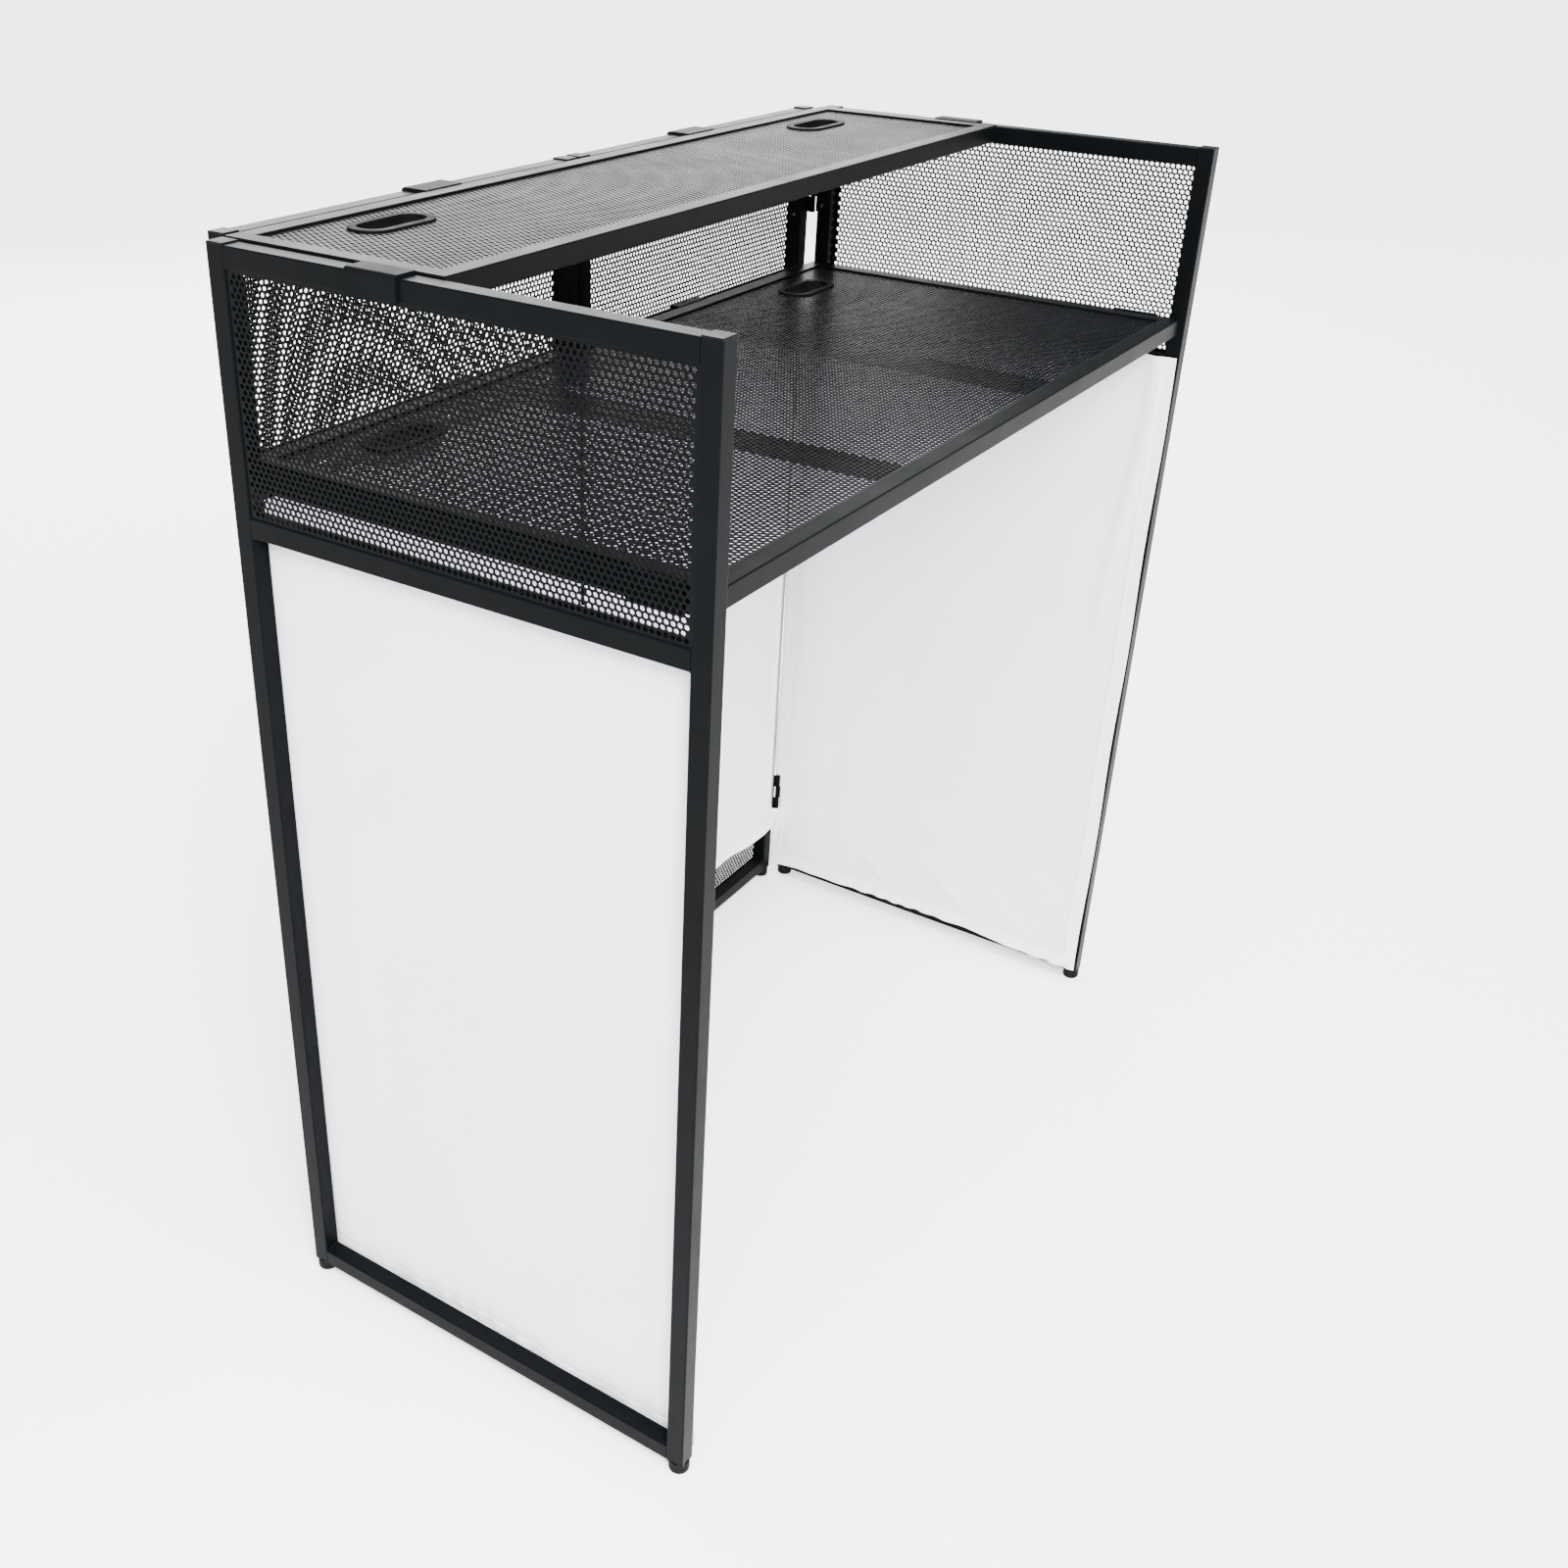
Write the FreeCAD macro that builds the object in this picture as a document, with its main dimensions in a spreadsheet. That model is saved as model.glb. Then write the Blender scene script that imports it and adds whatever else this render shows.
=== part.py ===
import FreeCAD
import Part
import Sketcher
import math
import os

# A folding booth for playing records: two side panels and two front panels of square steel tube,
# hinged at the corners and in the middle of the front, with a table and a shelf hooked onto them.
# X runs to the right as seen from the standing place, Y to the audience, Z up.
# The origin is on the floor in the middle of the overall box. All sizes are in millimetres.

doc = FreeCAD.newDocument("dj_booth")

SIZES = [
    ("booth_width", 1097.0, "over the outer faces of the side panels"),
    ("side_panel_depth", 522.0, "over the outer faces of a side panel's posts"),
    ("post_height", 1176.0, "length of every post"),
    ("tube_side", 20.0, "outer side of the square tube"),
    ("tube_wall", 1.2, "wall of the square tube"),
    ("tube_corner_radius", 1.5, "outer corner radius of the tube"),
    ("foot_height", 14.0, "floor to the lower end of a post"),
    ("foot_diameter", 22.5, "foot glide"),
    ("foot_edge_radius", 3.0, "rounded lower edge of a foot glide"),
    ("foot_stem_diameter", 17.0, "stem of a foot glide inside the post"),
    ("foot_stem_length", 12.0, "stem of a foot glide inside the post"),
    ("cap_thickness", 1.5, "visible plate of a post cap"),
    ("cap_edge_radius", 1.0, "rounded upper edge of a post cap"),
    ("cap_plug_length", 10.0, "plug of a post cap inside the post"),
    ("cap_plug_play", 0.2, "each side of the plug"),
    ("corner_gap", 9.0, "between a front panel and a side panel, both ways"),
    ("middle_rail_drop", 244.0, "upper ends of the posts to the top of the middle rail"),
    ("lower_rail_top", 100.0, "front panels only, above the lower ends of the posts"),
    ("sheet_thickness", 1.2, "perforated steel sheet"),
    ("sheet_inset", 2.0, "outer face of a panel to its sheet"),
    ("ledge_thickness", 3.0, "flat bars that the table hangs on"),
    ("ledge_height", 25.0, "flat bars that the table hangs on"),
    ("ledge_drop", 2.0, "top of the table frame to the top of the ledges"),
    ("hinge_leaf", 2.0, "thickness of a hinge leaf"),
    ("hinge_leaf_width", 17.0, "part of a leaf that lies on the post"),
    ("hinge_height", 60.0, "length of a hinge along its pin"),
    ("hinge_barrel_radius", 3.5, "knuckles"),
    ("hinge_pin_radius", 2.0, "hinge pin"),
    ("hinge_pin_play", 0.05, "around the pin in the knuckles"),
    ("hinge_play", 0.3, "between knuckles, and between the middle barrel and the posts"),
    ("hinge_pin_stand", 1.0, "pin past each end of the barrel"),
    ("upper_hinge_drop", 72.0, "upper ends of the posts to the top of the upper hinges"),
    ("lower_hinge_rise", 110.0, "lower ends of the posts to the lower hinges"),
    ("centre_play", 0.4, "between the two leaves of a closed middle hinge"),
    ("scrim_thickness", 1.2, "doubled and hemmed stretch cloth"),
    ("scrim_edge", 2.0, "edge of a panel to the edge of its scrim"),
    ("scrim_top_drop", 1.0, "top of the middle rail to the top of a scrim"),
    ("side_scrim_bottom", 10.0, "above the lower ends of the posts"),
    ("front_scrim_bottom", 72.0, "above the lower ends of the posts"),
    ("tape_width", 12.0, "hook-and-loop tape"),
    ("tape_thickness", 0.8, "hook-and-loop tape"),
    ("shelf_depth", 249.0, "front to rear over the shelf frame"),
    ("shelf_front_gap", 8.0, "shelf frame to the front panels"),
    ("shelf_end_gap", 2.0, "shelf frame to each side panel"),
    ("shelf_rise", 2.0, "shelf frame above the ends of the posts"),
    ("shelf_sheet_drop", 2.5, "top of the shelf frame to its sheet"),
    ("table_rear_gap", 6.5, "rear faces of the side panels to the table frame"),
    ("table_front_gap", 9.0, "table frame to the front panels"),
    ("table_end_gap", 2.0, "table frame to each side panel"),
    ("table_rise", 47.0, "top of the middle rails to the top of the table frame"),
    ("table_sheet_drop", 2.5, "top of the table frame to its sheet"),
    ("crossbar_depth", 15.0, "height of the tubes under the table sheet"),
    ("hook_plate", 3.0, "thickness of a hook"),
    ("hook_width", 55.0, "width of a hook"),
    ("hook_clearance", 0.5, "lip of a hook to what it grips"),
    ("hook_lip", 20.0, "lip of a shelf hook below its plate"),
    ("hook_bend_radius", 4.0, "outside of the bend of a hook"),
    ("table_hook_lip", 26.0, "lip of a table hook below its plate"),
    ("shelf_hook_offset", 26.0, "middle of a front panel to the middle of the shelf hook on it"),
    ("table_hook_offset", 39.0, "middle of a front panel to the middle of the table hook on it"),
    ("side_hook_set_back", 58.0, "rear edge of a frame to the middle of its side hooks"),
    ("grid_bar", 20.0, "sheet left between two openings of its coarse grid"),
    ("port_end_gap", 140.5, "side panel to the middle of a port"),
    ("port_set_back", 77.0, "front panels to the middle of a port"),
    ("port_length", 97.0, "over the rim of a port"),
    ("port_width", 48.0, "over the rim of a port"),
    ("port_rim", 8.5, "width of the rim around the opening"),
    ("port_wall", 3.0, "wall of the sleeve of a port"),
    ("port_rim_thickness", 2.0, "rim above the sheet"),
    ("port_rim_edge_radius", 1.2, "rounded upper edge of the rim"),
    ("port_sleeve_depth", 16.0, "sleeve below the top of the sheet"),
    ("port_play", 0.25, "around the sleeve in the sheet"),
]

sizes = doc.addObject("Spreadsheet::Sheet", "sizes")
for row, (alias, amount, note) in enumerate(SIZES, start=1):
    sizes.set(f"A{row}", note)
    sizes.set(f"B{row}", str(amount))
    sizes.setAlias(f"B{row}", alias)
doc.recompute()

# Expressions shared by several pieces.
TUBE = "sizes.tube_side"
FLOOR = "sizes.foot_height"
POST_TOP = f"({FLOOR} + sizes.post_height)"
MIDDLE_RAIL_TOP = f"({POST_TOP} - sizes.middle_rail_drop)"
LOWER_RAIL_TOP = f"({FLOOR} + sizes.lower_rail_top)"
TABLE_TOP = f"({MIDDLE_RAIL_TOP} + sizes.table_rise)"
LEDGE_TOP = f"({TABLE_TOP} - sizes.ledge_drop)"
HALF_WIDTH = "(sizes.booth_width / 2)"
SIDE_INNER_FACE = f"({HALF_WIDTH} - {TUBE})"
FOOT_OVERHANG = f"max(0; (sizes.foot_diameter - {TUBE}) / 2)"
OVERALL_DEPTH = (
    f"({FOOT_OVERHANG} + sizes.side_panel_depth + sizes.corner_gap + {TUBE} + sizes.hinge_play"
    " + 2 * sizes.hinge_barrel_radius)"
)
REAR_FACE = f"({FOOT_OVERHANG} - {OVERALL_DEPTH} / 2)"
SIDE_FRONT_FACE = f"({REAR_FACE} + sizes.side_panel_depth)"
SIDE_MIDDLE = f"({REAR_FACE} + sizes.side_panel_depth / 2)"
FRONT_INNER_FACE = f"({SIDE_FRONT_FACE} + sizes.corner_gap)"
FRONT_OUTER_FACE = f"({FRONT_INNER_FACE} + {TUBE})"
SIDE_LEDGE_FACE = f"({SIDE_INNER_FACE} + sizes.ledge_thickness)"
FRONT_LEDGE_FACE = f"({FRONT_INNER_FACE} + sizes.ledge_thickness)"
FRONT_PANEL_INNER_END = "(sizes.hinge_leaf + sizes.centre_play / 2)"
FRONT_PANEL_OUTER_END = f"({SIDE_INNER_FACE} - sizes.corner_gap)"
FRONT_PANEL_MIDDLE = f"(({FRONT_PANEL_INNER_END} + {FRONT_PANEL_OUTER_END}) / 2)"
FRONT_PANEL_WIDTH = f"({FRONT_PANEL_OUTER_END} - {FRONT_PANEL_INNER_END})"
PORT_X = f"({SIDE_INNER_FACE} - sizes.port_end_gap)"
PORT_Y = f"({FRONT_INNER_FACE} - sizes.port_set_back)"

SIDES = (("left", -1), ("right", 1))
ALONG_X = FreeCAD.Rotation(FreeCAD.Vector(0, 1, 0), 90)
ALONG_Y = FreeCAD.Rotation(FreeCAD.Vector(1, 0, 0), -90)
UPRIGHT = FreeCAD.Rotation()


def number(expression):
    """Present value of a size expression."""
    return float(sizes.evalExpression(expression))


def place(item, x, y, z, rotation=UPRIGHT):
    """Bind the position of a piece and turn it."""
    item.Placement = FreeCAD.Placement(FreeCAD.Vector(), rotation)
    item.setExpression("Placement.Base.x", x)
    item.setExpression("Placement.Base.y", y)
    item.setExpression("Placement.Base.z", z)


def new_body(name):
    """Empty body with its label."""
    body = doc.addObject("PartDesign::Body", name)
    body.Label = name
    return body


def new_sketch(body, name, role="XY_Plane", height=None):
    """Sketch on one of the body's own origin planes, lifted off it where a height is given."""
    sketch = body.newObject("Sketcher::SketchObject", f"{body.Name}_{name}")
    plane = [feature for feature in body.Origin.OriginFeatures if feature.Role == role][0]
    sketch.AttachmentSupport = (plane, [""])
    sketch.MapMode = "FlatFace"
    if height is not None:
        sketch.setExpression("AttachmentOffset.Base.z", height)
    return sketch


def bind_distance(sketch, kind, first, second, name, expression):
    """Named dimension between two points of a sketch, bound to a size."""
    index = sketch.addConstraint(Sketcher.Constraint(kind, *first, *second, number(expression)))
    sketch.renameConstraint(index, name)
    sketch.setExpression(f"Constraints.{name}", expression)


def add_lines(sketch, points):
    """Closed chain of lines through the points; returns the index of each line."""
    lines = []
    for start, end in zip(points, points[1:] + points[:1]):
        segment = Part.LineSegment(FreeCAD.Vector(*start, 0), FreeCAD.Vector(*end, 0))
        lines.append(sketch.addGeometry(segment, False))
    for line, following in zip(lines, lines[1:] + lines[:1]):
        sketch.addConstraint(Sketcher.Constraint("Coincident", line, 2, following, 1))
    return lines


def add_rectangle(sketch, name, width, depth):
    """Rectangle round the sketch origin."""
    half_x = number(width) / 2
    half_y = number(depth) / 2
    corners = [(-half_x, -half_y), (half_x, -half_y), (half_x, half_y), (-half_x, half_y)]
    low, right, high, left = add_lines(sketch, corners)
    sketch.addConstraint(Sketcher.Constraint("Horizontal", low))
    sketch.addConstraint(Sketcher.Constraint("Horizontal", high))
    sketch.addConstraint(Sketcher.Constraint("Vertical", left))
    sketch.addConstraint(Sketcher.Constraint("Vertical", right))
    sketch.addConstraint(Sketcher.Constraint("Symmetric", low, 1, high, 1, -1, 1))
    bind_distance(sketch, "DistanceX", (low, 1), (low, 2), f"{name}_width", width)
    bind_distance(sketch, "DistanceY", (right, 1), (right, 2), f"{name}_depth", depth)


def add_rounded_rectangle(sketch, name, width, depth, radius):
    """Rectangle with rounded corners round the sketch origin."""
    half_x = number(width) / 2
    half_y = number(depth) / 2
    bend = number(radius)
    flat_x = half_x - bend
    flat_y = half_y - bend
    runs = [
        ((-flat_x, -half_y), (flat_x, -half_y)),
        ((half_x, -flat_y), (half_x, flat_y)),
        ((flat_x, half_y), (-flat_x, half_y)),
        ((-half_x, flat_y), (-half_x, -flat_y)),
    ]
    centres = [(flat_x, -flat_y), (flat_x, flat_y), (-flat_x, flat_y), (-flat_x, -flat_y)]
    lines = []
    arcs = []
    for quarter, ((start, end), centre) in enumerate(zip(runs, centres)):
        segment = Part.LineSegment(FreeCAD.Vector(*start, 0), FreeCAD.Vector(*end, 0))
        lines.append(sketch.addGeometry(segment, False))
        circle = Part.Circle(FreeCAD.Vector(*centre, 0), FreeCAD.Vector(0, 0, 1), bend)
        first_angle = (quarter - 1) * math.pi / 2
        corner = Part.ArcOfCircle(circle, first_angle, first_angle + math.pi / 2)
        arcs.append(sketch.addGeometry(corner, False))
    for line, arc, following in zip(lines, arcs, lines[1:] + lines[:1]):
        sketch.addConstraint(Sketcher.Constraint("Tangent", line, 2, arc, 1))
        sketch.addConstraint(Sketcher.Constraint("Tangent", arc, 2, following, 1))
    low, right, high, left = lines
    sketch.addConstraint(Sketcher.Constraint("Horizontal", low))
    sketch.addConstraint(Sketcher.Constraint("Horizontal", high))
    sketch.addConstraint(Sketcher.Constraint("Vertical", left))
    sketch.addConstraint(Sketcher.Constraint("Vertical", right))
    for arc in arcs[1:]:
        sketch.addConstraint(Sketcher.Constraint("Equal", arcs[0], arc))
    sketch.addConstraint(Sketcher.Constraint("Symmetric", arcs[3], 3, arcs[1], 3, -1, 1))
    index = sketch.addConstraint(Sketcher.Constraint("Radius", arcs[0], bend))
    sketch.renameConstraint(index, f"{name}_radius")
    sketch.setExpression(f"Constraints.{name}_radius", radius)
    bind_distance(sketch, "DistanceX", (left, 1), (right, 1), f"{name}_width", width)
    bind_distance(sketch, "DistanceY", (low, 1), (high, 1), f"{name}_depth", depth)


def add_slot(sketch, name, length, width, side=0, offset=None):
    """Oblong with round ends, long along X: on the sketch origin or at an offset to one side."""
    radius = number(width) / 2
    half_run = (number(length) - number(width)) / 2
    middle = side * number(offset) if side else 0.0
    turn = math.pi / 2
    ends = []
    for x, start_angle in ((middle + half_run, -turn), (middle - half_run, turn)):
        circle = Part.Circle(FreeCAD.Vector(x, 0, 0), FreeCAD.Vector(0, 0, 1), radius)
        ends.append(sketch.addGeometry(Part.ArcOfCircle(circle, start_angle, start_angle + math.pi), False))
    right, left = ends
    runs = []
    for from_x, to_x, y in (
        (middle + half_run, middle - half_run, radius),
        (middle - half_run, middle + half_run, -radius),
    ):
        segment = Part.LineSegment(FreeCAD.Vector(from_x, y, 0), FreeCAD.Vector(to_x, y, 0))
        runs.append(sketch.addGeometry(segment, False))
    high, low = runs
    sketch.addConstraint(Sketcher.Constraint("Tangent", right, 2, high, 1))
    sketch.addConstraint(Sketcher.Constraint("Tangent", high, 2, left, 1))
    sketch.addConstraint(Sketcher.Constraint("Tangent", left, 2, low, 1))
    sketch.addConstraint(Sketcher.Constraint("Tangent", low, 2, right, 1))
    sketch.addConstraint(Sketcher.Constraint("Horizontal", high))
    sketch.addConstraint(Sketcher.Constraint("Horizontal", low))
    bind_distance(sketch, "DistanceY", (low, 1), (high, 1), f"{name}_width", width)
    bind_distance(sketch, "DistanceX", (left, 3), (right, 3), f"{name}_run", f"{length} - {width}")
    if side == 0:
        sketch.addConstraint(Sketcher.Constraint("Symmetric", left, 3, right, 3, -1, 1))
        return
    near, far = (left, right) if side > 0 else (right, left)
    reach = f"{offset} + ({length} - {width}) / 2"
    origin = (-1, 1)
    first, second = (origin, (far, 3)) if side > 0 else ((far, 3), origin)
    bind_distance(sketch, "DistanceX", first, second, f"{name}_reach", reach)
    sketch.addConstraint(Sketcher.Constraint("PointOnObject", near, 3, -1))


def add_pad(body, name, sketch, length, downward=False):
    """Pad of a sketch, upward from it or downward."""
    pad = body.newObject("PartDesign::Pad", f"{body.Name}_{name}")
    pad.Profile = sketch
    pad.Reversed = downward
    pad.setExpression("Length", length)
    sketch.Visibility = False
    return pad


def add_fillet(body, name, base, radius, wanted):
    """Round those edges of the last feature whose two end points the test accepts."""
    doc.recompute()
    names = []
    for position, edge in enumerate(base.Shape.Edges, start=1):
        ends = [vertex.Point for vertex in edge.Vertexes]
        if wanted(edge, ends):
            names.append(f"Edge{position}")
    fillet = body.newObject("PartDesign::Fillet", f"{body.Name}_{name}")
    fillet.Base = (base, names)
    fillet.setExpression("Radius", radius)
    return fillet


def tube(name, rotation, length, x, y, z, depth=TUBE):
    """Straight tube with open ends; the position is the middle of its first end."""
    body = new_body(name)
    profile = new_sketch(body, "profile")
    wall = "2 * sizes.tube_wall"
    add_rounded_rectangle(profile, "outer", depth, TUBE, "sizes.tube_corner_radius")
    add_rectangle(profile, "bore", f"{depth} - {wall}", f"{TUBE} - {wall}")
    add_pad(body, "run", profile, length)
    place(body, x, y, z, rotation)
    return body


def add_trapezoid(sketch, name, long_side, short_side, near, far):
    """Plan of a mitred tube: the long side lies outward, both sides are square to the Y axis."""
    half_long = number(long_side) / 2
    half_short = number(short_side) / 2
    low_y = number(near)
    high_y = number(far)
    corners = [(-half_long, low_y), (half_long, low_y), (half_short, high_y), (-half_short, high_y)]
    outer, _, inner, _ = add_lines(sketch, corners)
    sketch.addConstraint(Sketcher.Constraint("Symmetric", outer, 1, outer, 2, -2))
    sketch.addConstraint(Sketcher.Constraint("Symmetric", inner, 1, inner, 2, -2))
    bind_distance(sketch, "DistanceX", (outer, 1), (outer, 2), f"{name}_long", long_side)
    bind_distance(sketch, "DistanceX", (inner, 2), (inner, 1), f"{name}_short", short_side)
    bind_distance(sketch, "DistanceY", (-1, 1), (outer, 1), f"{name}_near", near)
    bind_distance(sketch, "DistanceY", (-1, 1), (inner, 1), f"{name}_far", far)


def turned(degrees):
    """Turn about the upright axis."""
    return FreeCAD.Rotation(FreeCAD.Vector(0, 0, 1), degrees)


def mitred_rail(name, length, turn, x, y, z):
    """One tube of a frame with mitred corners; the position is the middle of its outer lower edge."""
    body = new_body(name)
    plan = new_sketch(body, "plan")
    add_trapezoid(plan, "outline", length, f"{length} - 2 * {TUBE}", "0", TUBE)
    run = add_pad(body, "run", plan, TUBE)
    side = number(TUBE)

    def long_edge(edge, ends):
        """Edges along the tube."""
        return abs(ends[0].x - ends[1].x) > side

    corners = add_fillet(body, "corners", run, "sizes.tube_corner_radius", long_edge)
    bore_plan = new_sketch(body, "bore_plan", height="sizes.tube_wall")
    bore_far = f"({TUBE} - sizes.tube_wall)"
    add_trapezoid(
        bore_plan,
        "bore",
        f"{length} - 2 * sizes.tube_wall",
        f"{length} - 2 * {bore_far}",
        "sizes.tube_wall",
        bore_far,
    )
    bore = body.newObject("PartDesign::Pocket", f"{name}_bore")
    bore.Profile = bore_plan
    bore.Reversed = True
    bore.setExpression("Length", f"{TUBE} - 2 * sizes.tube_wall")
    doc.recompute()
    if bore.Shape.Volume > 0.5 * corners.Shape.Volume:
        raise RuntimeError(f"the bore of {name} cuts nothing")
    place(body, x, y, z, turned(turn))
    return body


def block(name, size, centre, bottom):
    """Plain rectangular piece, placed by the middle of its underside."""
    box = doc.addObject("Part::Box", name)
    box.Label = name
    box.setExpression("Length", size[0])
    box.setExpression("Width", size[1])
    box.setExpression("Height", size[2])
    place(box, f"{centre[0]} - ({size[0]}) / 2", f"{centre[1]} - ({size[1]}) / 2", bottom)
    return box


def cylinder(name, radius, height, x, y, z):
    """Upright cylinder."""
    rod = doc.addObject("Part::Cylinder", name)
    rod.setExpression("Radius", radius)
    rod.setExpression("Height", height)
    place(rod, x, y, z)
    return rod


def fuse(name, pieces):
    """One solid from several that overlap."""
    union = doc.addObject("Part::MultiFuse", name)
    union.Shapes = pieces
    union.Refine = True
    return union


def group(name, pieces):
    """Equal pieces that share one name."""
    compound = doc.addObject("Part::Compound", name)
    compound.Label = name
    compound.Links = pieces
    return compound


# A coarse grid of openings with the same open area stands for the fine perforation of the sheets.
GRID_COLUMNS = 12
GRID_COLUMNS_BETWEEN_PORTS = 8
GRID_COLUMNS_UPRIGHT = 6
GRID_ROW_COUNT_UPRIGHT = 3


def cut_openings(name, plate, openings):
    """What is left of a plate when its openings are cut."""
    sheet = doc.addObject("Part::Cut", name)
    sheet.Label = name
    sheet.Base = plate
    sheet.Tool = group(f"{name}_openings", openings)
    return sheet


def upright_sheet(name, size, centre, bottom, rows):
    """Upright sheet with a grid of openings; size and centre are as for a block."""
    run = 1 if size[0] == "sizes.sheet_thickness" else 0
    pitch = f"(({size[run]}) / {GRID_COLUMNS_UPRIGHT})"
    rise = f"(({size[2]}) / {rows})"
    opening = ["3 * sizes.sheet_thickness", "3 * sizes.sheet_thickness", f"{rise} - sizes.grid_bar"]
    opening[run] = f"{pitch} - sizes.grid_bar"
    openings = []
    for column in range(GRID_COLUMNS_UPRIGHT):
        middle = list(centre)
        middle[run] = f"{centre[run]} + {pitch} * {column + 0.5 - GRID_COLUMNS_UPRIGHT / 2}"
        for row in range(rows):
            level = f"{bottom} + {rise} * {row} + sizes.grid_bar / 2"
            openings.append(block(f"{name}_opening", opening, middle, level))
    return cut_openings(name, block(f"{name}_plate", size, centre, bottom), openings)


nodes = []

# Side panels: two posts with three rails butted between them, a perforated sheet welded near the
# outer face of the upper opening.
for side, sign in SIDES:
    middle_x = f"{sign} * ({HALF_WIDTH} - {TUBE} / 2)"
    for end, post_y in (
        ("front", f"{SIDE_FRONT_FACE} - {TUBE} / 2"),
        ("rear", f"{REAR_FACE} + {TUBE} / 2"),
    ):
        nodes.append(tube(f"{side}_panel_{end}_post", UPRIGHT, "sizes.post_height", middle_x, post_y, FLOOR))
    rail_length = f"sizes.side_panel_depth - 2 * {TUBE}"
    for level, rail_top in (
        ("top", POST_TOP),
        ("middle", MIDDLE_RAIL_TOP),
        ("bottom", f"({FLOOR} + {TUBE})"),
    ):
        rail = tube(
            f"{side}_panel_{level}_rail",
            ALONG_Y,
            rail_length,
            middle_x,
            f"{REAR_FACE} + {TUBE}",
            f"{rail_top} - {TUBE} / 2",
        )
        nodes.append(rail)
    sheet = upright_sheet(
        f"{side}_panel_sheet",
        ("sizes.sheet_thickness", rail_length, f"{POST_TOP} - {TUBE} - {MIDDLE_RAIL_TOP}"),
        (f"{sign} * ({HALF_WIDTH} - sizes.sheet_inset - sizes.sheet_thickness / 2)", SIDE_MIDDLE),
        MIDDLE_RAIL_TOP,
        GRID_ROW_COUNT_UPRIGHT,
    )
    nodes.append(sheet)

# Front panels: the same build, with a further low rail and a second perforated sheet under it.
for side, sign in SIDES:
    middle_y = f"{FRONT_INNER_FACE} + {TUBE} / 2"
    for end, post_x in (
        ("inner", f"{FRONT_PANEL_INNER_END} + {TUBE} / 2"),
        ("outer", f"{FRONT_PANEL_OUTER_END} - {TUBE} / 2"),
    ):
        name = f"front_{side}_{end}_post"
        nodes.append(tube(name, UPRIGHT, "sizes.post_height", f"{sign} * ({post_x})", middle_y, FLOOR))
    rail_length = f"({FRONT_PANEL_WIDTH} - 2 * {TUBE})"
    for level, rail_top in (
        ("top", POST_TOP),
        ("middle", MIDDLE_RAIL_TOP),
        ("lower", LOWER_RAIL_TOP),
        ("bottom", f"({FLOOR} + {TUBE})"),
    ):
        rail = tube(
            f"front_{side}_{level}_rail",
            ALONG_X,
            rail_length,
            f"{sign} * {FRONT_PANEL_MIDDLE} - {rail_length} / 2",
            middle_y,
            f"{rail_top} - {TUBE} / 2",
        )
        nodes.append(rail)
    for level, sheet_bottom, sheet_top, rows in (
        ("upper", MIDDLE_RAIL_TOP, f"({POST_TOP} - {TUBE})", GRID_ROW_COUNT_UPRIGHT),
        ("kick", f"({FLOOR} + {TUBE})", f"({LOWER_RAIL_TOP} - {TUBE})", 1),
    ):
        sheet = upright_sheet(
            f"front_{side}_{level}_sheet",
            (rail_length, "sizes.sheet_thickness", f"{sheet_top} - {sheet_bottom}"),
            (
                f"{sign} * {FRONT_PANEL_MIDDLE}",
                f"{FRONT_OUTER_FACE} - sizes.sheet_inset - sizes.sheet_thickness / 2",
            ),
            sheet_bottom,
            rows,
        )
        nodes.append(sheet)

# Ledges: flat bars welded between the posts, flush with the inner faces of the panels, for the table's
# hooks to hang on.
ledges = []
for side, sign in SIDES:
    side_size = ("sizes.ledge_thickness", f"sizes.side_panel_depth - 2 * {TUBE}", "sizes.ledge_height")
    side_place = (f"{sign} * ({SIDE_INNER_FACE} + sizes.ledge_thickness / 2)", SIDE_MIDDLE)
    ledges.append(block(f"{side}_ledge", side_size, side_place, f"{LEDGE_TOP} - sizes.ledge_height"))
    front_size = (f"{FRONT_PANEL_WIDTH} - 2 * {TUBE}", "sizes.ledge_thickness", "sizes.ledge_height")
    front_place = (f"{sign} * {FRONT_PANEL_MIDDLE}", f"{FRONT_INNER_FACE} + sizes.ledge_thickness / 2")
    ledges.append(block(f"front_{side}_ledge", front_size, front_place, f"{LEDGE_TOP} - sizes.ledge_height"))
nodes.append(group("ledge_bars", ledges))

# Plastic caps and foot glides, pressed into both ends of every post.
post_places = []
for side, sign in SIDES:
    panel_x = f"{sign} * ({HALF_WIDTH} - {TUBE} / 2)"
    post_places.append((f"{side}_front", panel_x, f"{SIDE_FRONT_FACE} - {TUBE} / 2"))
    post_places.append((f"{side}_rear", panel_x, f"{REAR_FACE} + {TUBE} / 2"))
    panel_y = f"{FRONT_INNER_FACE} + {TUBE} / 2"
    post_places.append((f"{side}_inner", f"{sign} * ({FRONT_PANEL_INNER_END} + {TUBE} / 2)", panel_y))
    post_places.append((f"{side}_outer", f"{sign} * ({FRONT_PANEL_OUTER_END} - {TUBE} / 2)", panel_y))

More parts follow.
